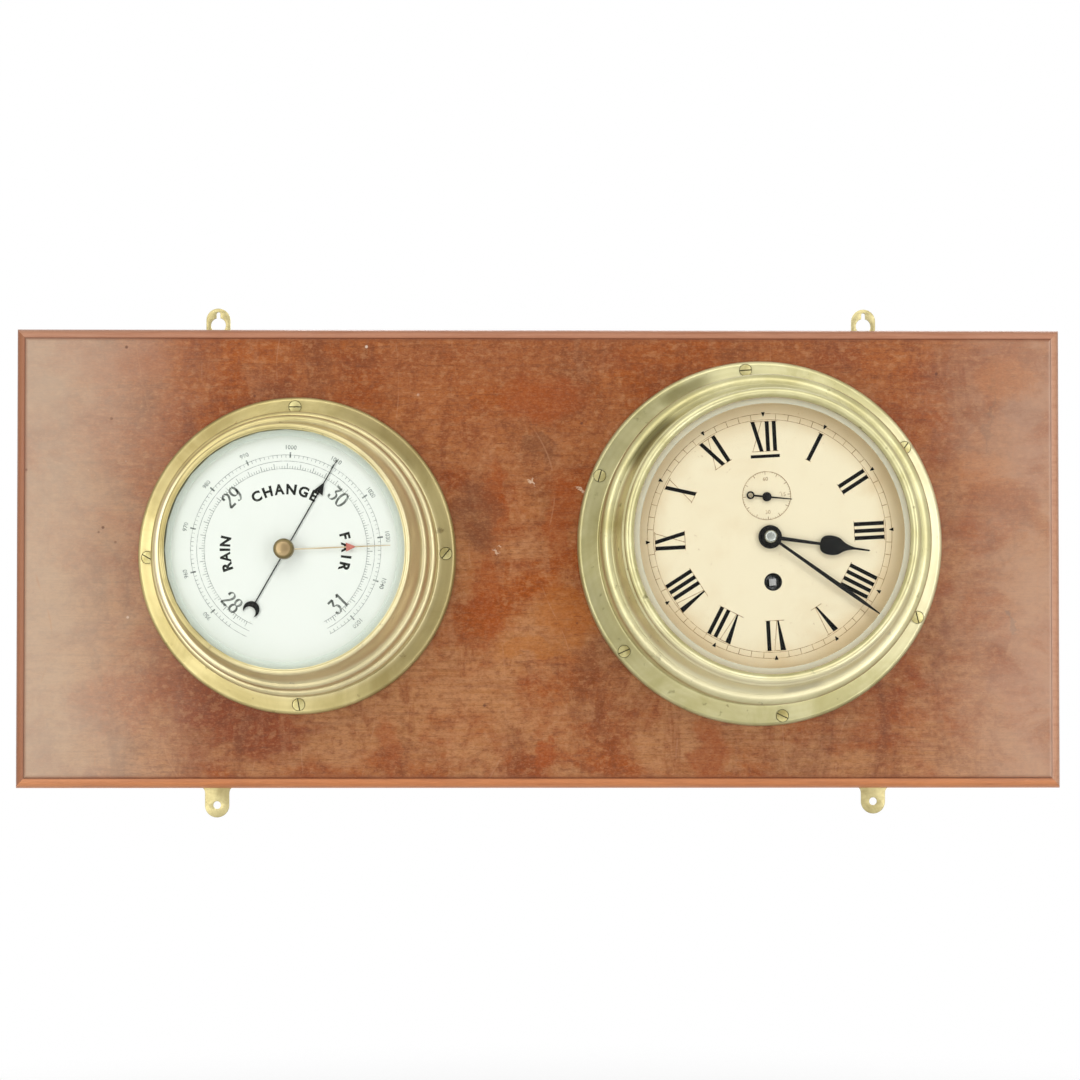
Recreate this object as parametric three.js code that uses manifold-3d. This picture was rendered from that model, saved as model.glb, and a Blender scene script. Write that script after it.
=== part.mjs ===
// A brass-cased ship's clock and aneroid barometer, screwed side by side to one moulded mahogany board.
// Millimetres. +Z is up, the front faces -Y, and the back of the board lies on the wall plane y = 0.
// Every shape is drawn as it is seen from the front: x to the right, y up, z out of the wall towards
// the viewer. The group at the end of the file turns that drawing upright.
import * as THREE from "three";
import { mergeVertices } from "three/addons/utils/BufferGeometryUtils.js";
import Module from "manifold-3d";

// Fits
const SEAT = 0.3; // gap between pieces that rest on each other
const PLAY = 0.15; // radial play of a pivot or pipe in its hole
const ON_AXIS = 1e-6; // nearer than this counts as on the axis

// Board
const BOARD_WIDTH = 587;
const BOARD_HEIGHT = 258;
const BOARD_THICKNESS = 19;
const MOULD_WIDTH = 5.8; // edge moulding, from the outer edge to the raised field
const MOULD_DROP = 7; // from the field down to the top of the square edge
const MOULD_QUIRK = 1; // square step between the field and the round

// Hanging plates, let into the back of the board
const PLATE_GAUGE = 1.6;
const PLATE_WIDTH = 13.6;
const PLATE_TAIL = 24; // length behind the board
const PLATE_RECESS = 0.3; // plate's back below the board's back
const PLATE_SCREW_RADIUS = 1.6;
const TAIL_HOLES = [0.35, 0.75]; // shares of the tail, from the board's edge
const TOP_PLATE_SHARES = [-0.3106, 0.3147];
const TOP_PLATE_X = TOP_PLATE_SHARES.map((share) => share * BOARD_WIDTH);
const TOP_PLATE_RISE = 13.8; // above the board's top edge
const KEYHOLE_ENTRY_RADIUS = 4.25;
const KEYHOLE_SLOT_RADIUS = 1.1;
const KEYHOLE_TIP_WALL = 2;
const EAR_SHARES = [-0.3107, 0.3232];
const EAR_X = EAR_SHARES.map((share) => share * BOARD_WIDTH);
const EAR_DROP = [17.2, 15.2]; // below the board's bottom edge
const EAR_HOLE_RADIUS = 2.2;
const EAR_HOLE_EDGE = 7; // hole's centre above the ear's tip
const EAR_FLARE = 3.2; // spread of the ear at the board
const EAR_FLARE_DROP = 4;

// Flange screws, countersunk and slotted
const SCREW_HEAD_RADIUS = 3.3;
const SCREW_SHANK_RADIUS = 1.5;
const SCREW_CONE = 2.1; // depth of the countersunk head
const SCREW_LENGTH = 16;
const SCREW_SLOT_WIDTH = 0.9;
const SCREW_SLOT_DEPTH = 0.9;
const SCREW_SLOT_STEP = 50; // degrees from one slot to the next

// Brass cases, sizes that both share
const CASE_WALL = 2.4;
const CASE_BACK = 2;
const LIP_DEPTH = 2.2; // ledge under the dial
const DIAL_THICKNESS = 1.2;
const THREAD_PLAY = 0.2; // bezel on its neck
const RIM_EDGE = 0.6; // thickness of the rim over the glass
const BEAD_FROM = -35; // degrees, part of a circle that the bead over the glass shows
const BEAD_TO = 150;

// Clock case and bezel, from the sight opening outwards
const CLOCK_SHARE = 0.2102;
const CLOCK_X = CLOCK_SHARE * BOARD_WIDTH;
const CLOCK_Y = 8;
const CLOCK_TURN = 4.3; // degrees anticlockwise, as the clock sits on its board
const CLOCK_SIGHT_RADIUS = 73.4;
const CLOCK_REBATE = 3.2; // how far the glass reaches under the rim
const CLOCK_NECK_STEP = 1.2; // neck beyond the rebate
const CLOCK_FOOT_WIDTH = 6; // bezel's foot on the shoulder
const CLOCK_FOOT_LEDGE = 1.1; // shoulder left clear outside the foot
const CLOCK_SHOULDER_ROUND = 4.5;
const CLOCK_FLANGE_WIDTH = 12;
const CLOCK_FLANGE_THICKNESS = 4.5;
const CLOCK_FLANGE_ROUND = 2.5;
const CLOCK_NECK_HEIGHT = 11.5;
const CLOCK_COVE_SHARE = 0.76; // top of the cove, as a share of the bezel's height
const CLOCK_BEAD_RADIUS = 2.4;
const CLOCK_DIAL_LIP = 5;
const CLOCK_SCREWS = 6;
const CLOCK_SCREW_INSET = 5; // from the flange's edge
const CLOCK_SCREW_TURN = -1.7; // degrees clockwise from the dial's twelve
const CLOCK_SCREW_SWING = 2.5; // degrees, the hand drilling opens and closes once round
const CLOCK_SCREW_SWING_TURN = 31;

// Clock glass and its retaining ring
const CLOCK_GLASS_THICKNESS = 3;
const CLOCK_BEVEL_WIDTH = 3.2;
const CLOCK_BEVEL_DROP = 1.1;
const GLASS_RING_WIDTH = 1.8;
const GLASS_RING_DEPTH = 1.4;

// Clock hands, set to the time shown
const TIME_SHOWN = 3 * 60 + 21.7; // minutes after twelve
const HOUR_SLIP = 2.4; // degrees that the hour hand stands ahead of the minute hand
const SECONDS_SHOWN = 16.6;
const HAND_GAUGE = 0.6;
const HAND_SPACE = 1.3; // between one hand and the next
const HOUR_HAND_LENGTH = 53.8;
const HOUR_SPADE_START = 27;
const HOUR_SPADE_CENTRE = 33.3;
const HOUR_SPADE_WIDTH = 9.8;
const HOUR_STEM_WIDTH = 2.2;
const HOUR_NECK = 0.7; // neck under the spade, as a share of the stem
const HOUR_THROAT = 0.25; // throat over the spade, as a share of its width
const HOUR_FULLNESS = 0.6;
const HOUR_BOSS_RADIUS = 6.3;
const MINUTE_TIP_SPACE = 2.4; // from the minute hand's tip to the sight edge
const MINUTE_HAND_WIDTH = 2.4;
const MINUTE_BOSS_RADIUS = 4.6;
const MINUTE_TAPER = 0.8; // width where the point starts, as a share of the root's
const MINUTE_POINT = 0.85; // start of the point, as a share of the length
const SECONDS_HAND_LENGTH = 13.4;
const SECONDS_RING_REACH = 8.8;
const SECONDS_RING_RADIUS = 2;
const SECONDS_BOSS_RADIUS = 2.2;
const NUT_RADIUS = 2.8;
const NUT_HEIGHT = 2;
const GLASS_SPACE = 2.6; // from the hand nut to the glass

// Clock movement: two round plates, a going barrel and a lever escapement
const MOVEMENT_SPACE = 6; // between the case's back and the back plate
const PLATE_RADIUS = 46;
const PLATE_DROP = 6; // plates' centre below the hands' centre
const MOVEMENT_GAUGE = 2;
const PLATE_SPACING = 26;
const PILLAR_RADIUS = 2.8;
const PILLAR_EDGE = 6;
const PILLAR_TURNS = [60, 160, 240, 300]; // degrees round the plates, clear of the train
const MOTION_SPACE = 13.8; // between the front plate and the dial
const DIAL_FOOT_RADIUS = 1.6;
const DIAL_FOOT_CIRCLE = 32;
const DIAL_FEET = 3;
const WINDING_DROP = 24; // barrel arbor below the hands' centre
const SECONDS_RISE = 21.6; // fourth arbor above the hands' centre
const WINDING_HOLE_RADIUS = 4.65;
const WINDING_SQUARE = 3.7;
const WINDING_SET_BACK = 1.2; // square's end behind the dial
const BARREL_ARBOR_RADIUS = 2.9;
const BARREL_WALL = 1.4;
const MAINSPRING_TURNS = 4;
const MAINSPRING_GAUGE = 0.6;
const CENTRE_ARBOR_RADIUS = 1.2;
const ARBOR_RADIUS = 0.65;
const PIVOT_RADIUS = 0.45;
const WHEEL_GAUGE = 1.5;
const WHEEL_ARMS = 4;
const ARM_WIDTH = 1.8;
const HUB_RADIUS = 2.6;
const LEVEL_SPACE = 1.2; // between wheels that pass over each other
const PLATE_CLEAR = 0.8; // between a wheel and the plate beside it
const THIRD_SHARE = 0.22; // heights of the upper train, as shares of the space between the plates
const FOURTH_SHARE = 0.37;
const ESCAPE_SHARE = 0.52;
const BALANCE_SHARE = 0.7;
const HAIRSPRING_SHARE = 0.85;
const BARREL_TOOTH_FACE = 2.2;
const ESCAPE_TEETH = 15;
const ESCAPE_RADIUS = 5.5;
const ESCAPE_ROOT = 0.76; // root of the teeth, as a share of the radius
const ESCAPE_TIP = 0.55; // tip and heel of a leaning tooth, as shares of one pitch
const ESCAPE_HEEL = 0.62;
const ESCAPE_TURN = 160; // degrees, fourth arbor to escape arbor
const LEVER_TURN = 200; // degrees, line of escape wheel, lever and balance
const PALLET_DISTANCE = 6.6; // escape arbor to lever arbor
const PALLET_DROP = 0.35; // pallet faces outside the escape wheel's path
const PALLET_SPREAD = 3.6;
const LEVER_WIDTH = 1.6;
const ROLLER_RADIUS = 2.3;
const IMPULSE_REACH = 1.7;
const IMPULSE_RADIUS = 0.35;
const BALANCE_RADIUS = 9;
const BALANCE_RIM = 1.7;
const LEVER_LENGTH = BALANCE_RADIUS + ARBOR_RADIUS + LEVEL_SPACE; // lever arbor to balance staff
const HAIRSPRING_TURNS = 4;
const HAIRSPRING_RADIUS = 7;
const HAIRSPRING_GAUGE = 0.3;
const CANNON_WALL = 0.6;
const HOUR_PIPE_WALL = 0.8;
const STUD_RADIUS = 0.8;
const MINUTE_STUD_TURN = 150; // degrees, hands' centre to minute wheel
const RATCHET_TEETH = 24;
const RATCHET_RADIUS = 8;
const RATCHET_DEPTH = 1.3;
const CLICK_TURN = -40; // degrees, barrel arbor to the click's nose
const CLICK_LENGTH = 9;
const CLICK_WIDTH = 3;
const CLICK_SPRING_GAUGE = 0.4;
const CLICK_SPRING_EYE = 2.1;
const CLICK_SPRING_TIP = 2; // past the click's stud

// Gear teeth
const ADDENDUM = 0.8; // in modules
const DEDENDUM = 1.05;
const TOOTH_ROOT = 0.34; // half width at the root, as a share of one pitch
const RIM_MODULES = 2; // rim of a crossed-out wheel
const BARREL_TEETH = 54;
const HOUR_TEETH = 24;
const HOUR_LEAVES = 6;
const CENTRE_MODULES = 43; // modules that fill the rise of the seconds arbor
const THIRD_MODULES = 47;
const FOURTH_MODULES = 54;

/** Distance between the arbors of a wheel and the pinion that it turns. */
const reach = ([teeth, leaves, module]) => ((teeth + leaves) * module) / 2;

// Gear pairs: wheel teeth, pinion leaves, module. The modules follow the arbor distances above.
const BARREL_TIP = WINDING_DROP - CENTRE_ARBOR_RADIUS - 2 * SEAT;
const BARREL_GEARS = [BARREL_TEETH, 9, BARREL_TIP / (BARREL_TEETH / 2 + ADDENDUM)];
const INTERMEDIATE_GEARS = [48, 8, 0.7];
const CENTRE_GEARS = [48, 6, SECONDS_RISE / CENTRE_MODULES];
const THIRD_GEARS = [45, 6, SECONDS_RISE / THIRD_MODULES];
const FOURTH_GEARS = [48, 6, SECONDS_RISE / FOURTH_MODULES];
const MINUTE_GEARS = [24, 8, 0.7];
const HOUR_GEARS = [HOUR_TEETH, HOUR_LEAVES, (2 * reach(MINUTE_GEARS)) / (HOUR_TEETH + HOUR_LEAVES)];

// Barometer case and bezel, from the sight opening outwards
const BARO_SHARE = -0.23;
const BARO_X = BARO_SHARE * BOARD_WIDTH;
const BARO_Y = 1;
const BARO_SIGHT_RADIUS = 63.7;
const BARO_REBATE = 2.4;
const BARO_NECK_STEP = -1.1;
const BARO_FOOT_WIDTH = 9.9;
const BARO_FOOT_LEDGE = 0.5;
const BARO_SHOULDER_ROUND = 2.5;
const BARO_FLANGE_WIDTH = 10.1;
const BARO_FLANGE_THICKNESS = 4;
const BARO_FLANGE_ROUND = 2.3;
const BARO_NECK_HEIGHT = 31.6;
const BARO_GROOVE_SHARE = 0.33; // groove between the two mouldings, as a share of the bezel's height
const BARO_GROOVE_STEP = 3.9; // groove inside the foot
const BARO_GROOVE_WIDTH = 1;
const BARO_COVE_SHARE = 0.86;
const BARO_BEAD_RADIUS = 1.5;
const BARO_DIAL_LIP = 5;
const BARO_SCREWS = 4;
const BARO_SCREW_INSET = 5.6;
const BARO_SCREW_TURN = -0.8;

// Barometer glass, hands and set knob
const BARO_GLASS_THICKNESS = 2.6;
const BARO_BEVEL_WIDTH = 3.7;
const BARO_BEVEL_DROP = 1;
const BARO_HAND_GAUGE = 0.5;
const BARO_HAND_SPACE = 0.9;
const PRESSURE_SHOWN = 29.7; // degrees clockwise from the top of the scale
const PRESSURE_HAND_LENGTH = 55.4;
const PRESSURE_TAIL_LENGTH = 36;
const CRESCENT_RADIUS = 3.9;
const CRESCENT_HOLLOW = 0.8; // as a share of the crescent's radius
const NEEDLE_WIDTH = 0.9;
const SET_SHOWN = 87.6;
const SET_HAND_LENGTH = 56;
const ARROW_REACH = 36.5; // where both needles carry an arrow head
const ARROW_LENGTH = 6;
const ARROW_WIDTH = 3.6;
const NEEDLE_BOSS_RADIUS = 3.4;
const KNOB_RADIUS = 5.55;
const KNOB_HEIGHT = 6;
const KNOB_FOOT = 0.85; // as a share of the knob's radius
const SPINDLE_RADIUS = 1.2;

// Aneroid works
const ANEROID_PLATE_RADIUS = 50;
const ANEROID_PLATE_GAUGE = 2.5;
const CAPSULE_RADIUS = 24;
const CAPSULE_HEIGHT = 11;
const CAPSULE_RIDGES = 2;
const CAPSULE_RIDGE = 0.9;
const CAPSULE_POST_RADIUS = 1.6;
const COLLAR_RADIUS = 3.2;
const COLLAR_HEIGHT = 1.2;
const COLLAR_SPACE = 1.1; // lets the leaf spring breathe under the collar
const LEAF_GAUGE = 1.8;
const LEAF_WIDTH = 20;
const LEAF_SPACE = 2.4; // between the capsule and the leaf above it
const LEAF_BACK = 43; // capsule's axis to the leaf's bend
const LEAF_REACH = 7; // past the capsule's axis
const LEAF_FOOT = 12;
const BEAM_WIDTH = 3; // lever that multiplies the leaf's motion
const BEAM_GAUGE = 1.5;
const BEAM_OFFSET = 6.2; // to one side of the capsule's axis
const BEAM_TAIL = 12;
const ROCKER_X = 33;
const ROCKER_HALF_LENGTH = 13;
const ROCKER_RADIUS = 1.2;
const ROCKER_POST_WIDTH = 3;
const ROCKER_FINGER = 2.7; // rides on the beam
const ROCKER_ARM_WIDTH = 1.6;
const DRUM_RADIUS = 1.4;
const DRUM_FACE = 2.4;
const DRUM_RISE = 6; // above the bridge
const CHAIN_GAUGE = 0.8;
const BRIDGE_SPACE = 1.6; // above the capsule's collar
const BRIDGE_GAUGE = 1.8;
const BRIDGE_WIDTH = 10;
const BRIDGE_POST_RADIUS = 2.2;
const BRIDGE_POST_REACH = 31;
const POINTER_ARBOR_RADIUS = 0.9;
const DIAL_ROOM = 18.8; // between the chain drum and the dial
const BARO_FOOT_CIRCLE = 40;
const BARO_FOOT_RADIUS = 1.8;

// Facets
const SHELL_SIDES = 28;
const ROUND_SIDES = 16;
const PIPE_SIDES = 14;
const SPIRAL_STEPS = 10; // in one turn
const ROD_SIDES = 8;
const CURVE_STEPS = 4; // in a moulded curve
const COVE_STEPS = 3;
const CORNER_STEPS = 2; // in a rounded corner

// Heights of the clock, out from the board
const BACK_PLATE_BACK = CASE_BACK + MOVEMENT_SPACE;
const WORKS_BACK = BACK_PLATE_BACK + MOVEMENT_GAUGE;
const WORKS_FRONT = WORKS_BACK + PLATE_SPACING;
const FRONT_PLATE_FACE = WORKS_FRONT + MOVEMENT_GAUGE;
const DIAL_BACK = FRONT_PLATE_FACE + MOTION_SPACE;
const DIAL_FACE = DIAL_BACK + DIAL_THICKNESS;
const SECONDS_HAND_BACK = DIAL_FACE + HAND_SPACE;
const HOUR_HAND_BACK = SECONDS_HAND_BACK + HAND_GAUGE + HAND_SPACE / 2;
const MINUTE_HAND_BACK = HOUR_HAND_BACK + HAND_GAUGE + HAND_SPACE;
const NUT_BACK = MINUTE_HAND_BACK + HAND_GAUGE + SEAT;
const CLOCK_GLASS_BACK = NUT_BACK + NUT_HEIGHT + GLASS_SPACE;
const CLOCK_GLASS_FACE = CLOCK_GLASS_BACK + CLOCK_GLASS_THICKNESS;

// Levels of the train between the plates, and of the motion work before them
const CENTRE_LEVEL = WORKS_BACK + PLATE_CLEAR;
const BARREL_LEVEL = CENTRE_LEVEL + WHEEL_GAUGE + LEVEL_SPACE;
const INTERMEDIATE_LEVEL = WORKS_FRONT - PLATE_CLEAR - WHEEL_GAUGE;
const BARREL_DEPTH = INTERMEDIATE_LEVEL - LEVEL_SPACE - BARREL_LEVEL;
const THIRD_LEVEL = WORKS_BACK + THIRD_SHARE * PLATE_SPACING;
const FOURTH_LEVEL = WORKS_BACK + FOURTH_SHARE * PLATE_SPACING;
const ESCAPE_LEVEL = WORKS_BACK + ESCAPE_SHARE * PLATE_SPACING;
const BALANCE_LEVEL = WORKS_BACK + BALANCE_SHARE * PLATE_SPACING;
const HAIRSPRING_LEVEL = WORKS_BACK + HAIRSPRING_SHARE * PLATE_SPACING;
const MINUTE_LEVEL = FRONT_PLATE_FACE + PLATE_CLEAR;
const HOUR_LEVEL = MINUTE_LEVEL + WHEEL_GAUGE + LEVEL_SPACE;

// Heights of the barometer, out from the board
const ANEROID_BACK = CASE_BACK + SEAT;
const ANEROID_FACE = ANEROID_BACK + ANEROID_PLATE_GAUGE;
const CAPSULE_BACK = ANEROID_FACE + SEAT;
const CAPSULE_FACE = CAPSULE_BACK + CAPSULE_HEIGHT;
const LEAF_LEVEL = CAPSULE_FACE + LEAF_SPACE;
const BEAM_LEVEL = LEAF_LEVEL + LEAF_GAUGE + SEAT;
const COLLAR_LEVEL = LEAF_LEVEL + LEAF_GAUGE + COLLAR_SPACE;
const ROCKER_LEVEL = BEAM_LEVEL + BEAM_GAUGE + SEAT + CHAIN_GAUGE / 2;
const BRIDGE_LEVEL = COLLAR_LEVEL + COLLAR_HEIGHT + BRIDGE_SPACE;
const DRUM_LEVEL = BRIDGE_LEVEL + BRIDGE_GAUGE + DRUM_RISE;
const CHAIN_LEVEL = DRUM_LEVEL + DRUM_FACE / 2;
const BARO_DIAL_BACK = DRUM_LEVEL + DRUM_FACE + DIAL_ROOM;
const BARO_DIAL_FACE = BARO_DIAL_BACK + DIAL_THICKNESS;
const PRESSURE_HAND_BACK = BARO_DIAL_FACE + BARO_HAND_SPACE;
const SET_HAND_BACK = PRESSURE_HAND_BACK + BARO_HAND_GAUGE + BARO_HAND_SPACE;
const BARO_GLASS_BACK = SET_HAND_BACK + BARO_HAND_GAUGE + BARO_HAND_SPACE;
const BARO_GLASS_FACE = BARO_GLASS_BACK + BARO_GLASS_THICKNESS;

// Finishes
const finish = (color, roughness, metalness) =>
  new THREE.MeshStandardMaterial({ color, roughness, metalness });
const MAHOGANY = finish(0x9c5a36, 0.45, 0);
const BRASS = finish(0xb9a55f, 0.35, 1);
const DULL_BRASS = finish(0xa88f4e, 0.45, 1);
const STEEL = finish(0x9a9c9e, 0.3, 1);
const BLACKENED = finish(0x14161a, 0.4, 0.6);
const CREAM_PAINT = finish(0xe9d9b4, 0.6, 0);
const WHITE_PAINT = finish(0xeef2ea, 0.55, 0);
const GLASS = finish(0xdfeee6, 0.05, 0);

const wasm = await Module();
wasm.setup();
const radians = THREE.MathUtils.degToRad;
const shift = ([x, y], [dx, dy]) => [x + dx, y + dy];
const polar = (size, degrees) => [size * Math.cos(radians(degrees)), size * Math.sin(radians(degrees))];
const points = (pairs) => pairs.map(([x, y]) => new THREE.Vector2(x, y));

/** A closed geometry as a solid, with its faces pointing out. */
function solidOf(geometry) {
  const bare = geometry.clone();
  bare.deleteAttribute("normal");
  bare.deleteAttribute("uv");
  const { index, attributes } = mergeVertices(bare);
  const faces = [];
  for (let i = 0; i < index.count; i += 3) {
    const [a, b, c] = [0, 1, 2].map((k) => index.getX(i + k));
    if (a !== b && b !== c && c !== a) faces.push(a, b, c);
  }
  const build = () => {
    const triVerts = new Uint32Array(faces);
    const vertProperties = new Float32Array(attributes.position.array);
    return new wasm.Manifold(new wasm.Mesh({ numProp: 3, vertProperties, triVerts }));
  };
  const solid = build();
  if (solid.volume() > 0) return solid;
  faces.reverse();
  return build();
}

/** The first list of closed shapes joined, less every shape of the second list. */
function fashion(added, removed = []) {
  const body = added.map(solidOf).reduce((whole, next) => whole.add(next));
  const solid = removed.map(solidOf).reduce((whole, next) => whole.subtract(next), body);
  const { vertProperties, triVerts } = solid.getMesh();
  const geometry = new THREE.BufferGeometry();
  geometry.setAttribute("position", new THREE.BufferAttribute(new Float32Array(vertProperties), 3));
  geometry.setIndex(new THREE.BufferAttribute(new Uint32Array(triVerts), 1));
  return geometry;
}

/** A named mesh of a fashioned geometry, placed on its own axis and turned by degrees. */
function piece(name, finishing, geometry, [x, y] = [0, 0], turn = 0) {
  const shaded = geometry.toNonIndexed();
  shaded.computeVertexNormals();
  const mesh = new THREE.Mesh(shaded, finishing);
  mesh.name = name;
  mesh.position.set(x, y, 0);
  mesh.rotation.z = radians(turn);
  return mesh;
}

/** A [radius, height] outline turned about the z axis. It closes on the axis or on its first point. */
function revolve(outline, sides = SHELL_SIDES) {
  const onAxis = outline[0][0] === 0;
  const closed = onAxis ? outline : [...outline, outline[0]];
  return new THREE.LatheGeometry(points(closed), sides).rotateX(Math.PI / 2);
}

/** Pairs on an arc round a centre, from one angle to another in degrees. */
function arc(centre, size, from, to, steps) {
  const turn = (i) => from + ((to - from) * i) / steps;
  return Array.from({ length: steps + 1 }, (_, i) => shift(centre, polar(size, turn(i))));
}

/** Pairs on a curve that leaves start for control and reaches end from it. */
function bend(start, control, end, steps) {
  const curve = new THREE.QuadraticBezierCurve(...points([start, control, end]));
  return curve.getPoints(steps).map(({ x, y }) => [x, y]);
}

/** Corners of the regular polygon that stands for a circle. */
const circle = (radius, sides, centre = [0, 0]) => arc(centre, radius, 0, 360, sides).slice(0, sides);

/** A flat plate of one outline with holes, from height z up by its gauge. */
function sheet(outline, z, gauge, holes = []) {
  const shape = new THREE.Shape(points(outline));
  shape.holes = holes.map((hole) => new THREE.Path(points(hole)));
  return new THREE.ExtrudeGeometry(shape, { depth: gauge, bevelEnabled: false }).translate(0, 0, z);
}

/** A round rod between two heights. */
function rod(radius, low, high, [x, y] = [0, 0], sides = ROD_SIDES) {
  const cylinder = new THREE.CylinderGeometry(radius, radius, high - low, sides);
  return cylinder.rotateX(Math.PI / 2).translate(x, y, (low + high) / 2);
}

/** A round rod along y at height z. */
function axle(radius, from, to, x, z) {
  return new THREE.CylinderGeometry(radius, radius, to - from, ROD_SIDES).translate(x, (from + to) / 2, z);
}

/** A box between two opposite corners. */
function block([x0, y0, z0], [x1, y1, z1]) {
  const box = new THREE.BoxGeometry(x1 - x0, y1 - y0, z1 - z0);
  return box.translate((x0 + x1) / 2, (y0 + y1) / 2, (z0 + z1) / 2);
}

/** A flat spiral strip that opens from one radius to another. Its least gap to itself is printed. */
function spiral(name, inner, outer, turns, gauge, z, depth) {
  const steps = turns * SPIRAL_STEPS;
  const edge = (offset) =>
    Array.from({ length: steps + 1 }, (_, i) =>
      polar(inner + ((outer - inner) * i) / steps + offset, (360 * turns * i) / steps),
    );
  const apart = edge(0).slice(SPIRAL_STEPS).map(([x, y], i) => {
    const [x0, y0] = edge(0)[i];
    return Math.hypot(x - x0, y - y0) - gauge;
  });
  console.log(`${name}: least gap to itself ${Math.min(...apart).toFixed(2)} mm`);
  return sheet([...edge(gauge / 2), ...edge(-gauge / 2).reverse()], z, depth);
}

// A round of many sides is this much nearer to its centre at its flats than at its corners
const FLAT = Math.cos(Math.PI / SHELL_SIDES);

/** The largest radius that turns freely inside a bore. */
const within = (bore) => bore * FLAT - PLAY;

/** Radii of a case and its bezel, worked outwards from the sight opening. */
function caseRadii(sight, rebateWidth, neckStep, footWidth, footLedge, round, flangeWidth) {
  const rebate = sight + rebateWidth;
  const neck = rebate + neckStep;
  const bore = (neck + THREAD_PLAY) / FLAT;
  const foot = bore + footWidth;
  const wall = foot + footLedge + round;
  return { sight, rebate, neck, bore, foot, wall, round, flange: wall + flangeWidth };
}

const CLOCK = caseRadii(
  CLOCK_SIGHT_RADIUS,
  CLOCK_REBATE,
  CLOCK_NECK_STEP,
  CLOCK_FOOT_WIDTH,
  CLOCK_FOOT_LEDGE,
  CLOCK_SHOULDER_ROUND,
  CLOCK_FLANGE_WIDTH,
);
const BARO = caseRadii(
  BARO_SIGHT_RADIUS,
  BARO_REBATE,
  BARO_NECK_STEP,
  BARO_FOOT_WIDTH,
  BARO_FOOT_LEDGE,
  BARO_SHOULDER_ROUND,
  BARO_FLANGE_WIDTH,
);
const CLOCK_NECK_TOP = DIAL_BACK - SEAT;
const CLOCK_SHOULDER = CLOCK_NECK_TOP - CLOCK_NECK_HEIGHT;
const BARO_NECK_TOP = BARO_DIAL_BACK - SEAT;
const BARO_SHOULDER = BARO_NECK_TOP - BARO_NECK_HEIGHT;

// Screws round the two flanges, as places on each instrument's own face
const clockScrewTurn = (i) => {
  const even = (360 * i) / CLOCK_SCREWS;
  const swing = CLOCK_SCREW_SWING * Math.sin(radians(even + CLOCK_SCREW_SWING_TURN));
  return 90 - (even + CLOCK_SCREW_TURN + swing);
};
const CLOCK_SCREW_PLACES = Array.from({ length: CLOCK_SCREWS }, (_, i) =>
  polar(CLOCK.flange - CLOCK_SCREW_INSET, clockScrewTurn(i)),
);
const BARO_SCREW_PLACES = Array.from({ length: BARO_SCREWS }, (_, i) =>
  polar(BARO.flange - BARO_SCREW_INSET, 90 - BARO_SCREW_TURN - (360 * i) / BARO_SCREWS),
);

/** The room that a flange screw takes up, widened by a clearance, with its head flush at height face. */
function screwRoom(face, clearance) {
  return revolve(
    [
      [0, face - SCREW_LENGTH - clearance],
      [SCREW_SHANK_RADIUS + clearance, face - SCREW_LENGTH + 2 * SCREW_SHANK_RADIUS - clearance],
      [SCREW_SHANK_RADIUS + clearance, face - SCREW_CONE - clearance],
      [SCREW_HEAD_RADIUS + clearance, face - clearance],
      [SCREW_HEAD_RADIUS + clearance, face + clearance],
      [0, face + clearance],
    ],
    ROD_SIDES,
  );
}

/** Rooms for all the screws of one flange. */
function screwRooms(face, places, clearance) {
  return places.map(([x, y]) => screwRoom(face, clearance).translate(x, y, 0));
}

/** Countersunk slotted screws that hold a flange to the board. */
function flangeScrews(owner, face, places) {
  const reach = SCREW_HEAD_RADIUS + SEAT;
  const half = SCREW_SLOT_WIDTH / 2;
  const slot = block([-reach, -half, face - SCREW_SLOT_DEPTH], [reach, half, face + SEAT]);
  const screw = fashion([screwRoom(face, 0)], [slot]);
  return places.map((place, i) =>
    piece(`${owner}_flange_screw_${i + 1}`, DULL_BRASS, screw, place, i * SCREW_SLOT_STEP),
  );
}

// Board and hanging plates

/** Rectangles of given half sizes and heights, skinned one to the next. */
function skinRectangles(rings) {
  const corners = rings.flatMap(([x, y, z]) => [-x, -y, z, x, -y, z, x, y, z, -x, y, z]);
  const last = 4 * (rings.length - 1);
  const faces = [0, 2, 1, 0, 3, 2, last, last + 1, last + 2, last, last + 2, last + 3];
  for (let i = 0; i < last; i += 4) {
    for (let k = 0; k < 4; k++) {
      const next = (k + 1) % 4;
      faces.push(i + k, i + next, i + 4 + next, i + k, i + 4 + next, i + 4 + k);
    }
  }
  const geometry = new THREE.BufferGeometry();
  geometry.setAttribute("position", new THREE.Float32BufferAttribute(corners, 3));
  return geometry.setIndex(faces);
}

/** A hole in the board for each flange screw of an instrument. */
function pilotHoles(centre, turn, face, places) {
  return screwRooms(face, places, SEAT).map((room) =>
    room.rotateZ(radians(turn)).translate(...centre, BOARD_THICKNESS + SEAT),
  );
}

/** A pocket in the board's back for a plate's tail, open through the edge on the given side, +1 or -1. */
function platePocket(x, side, halfWidth) {
  const end = side * (BOARD_HEIGHT / 2 - PLATE_TAIL - SEAT);
  const past = side * (BOARD_HEIGHT / 2 + SEAT);
  const depth = PLATE_RECESS + PLATE_GAUGE + SEAT;
  const half = halfWidth + SEAT;
  return block([x - half, Math.min(end, past), -SEAT], [x + half, Math.max(end, past), depth]);
}

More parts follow.
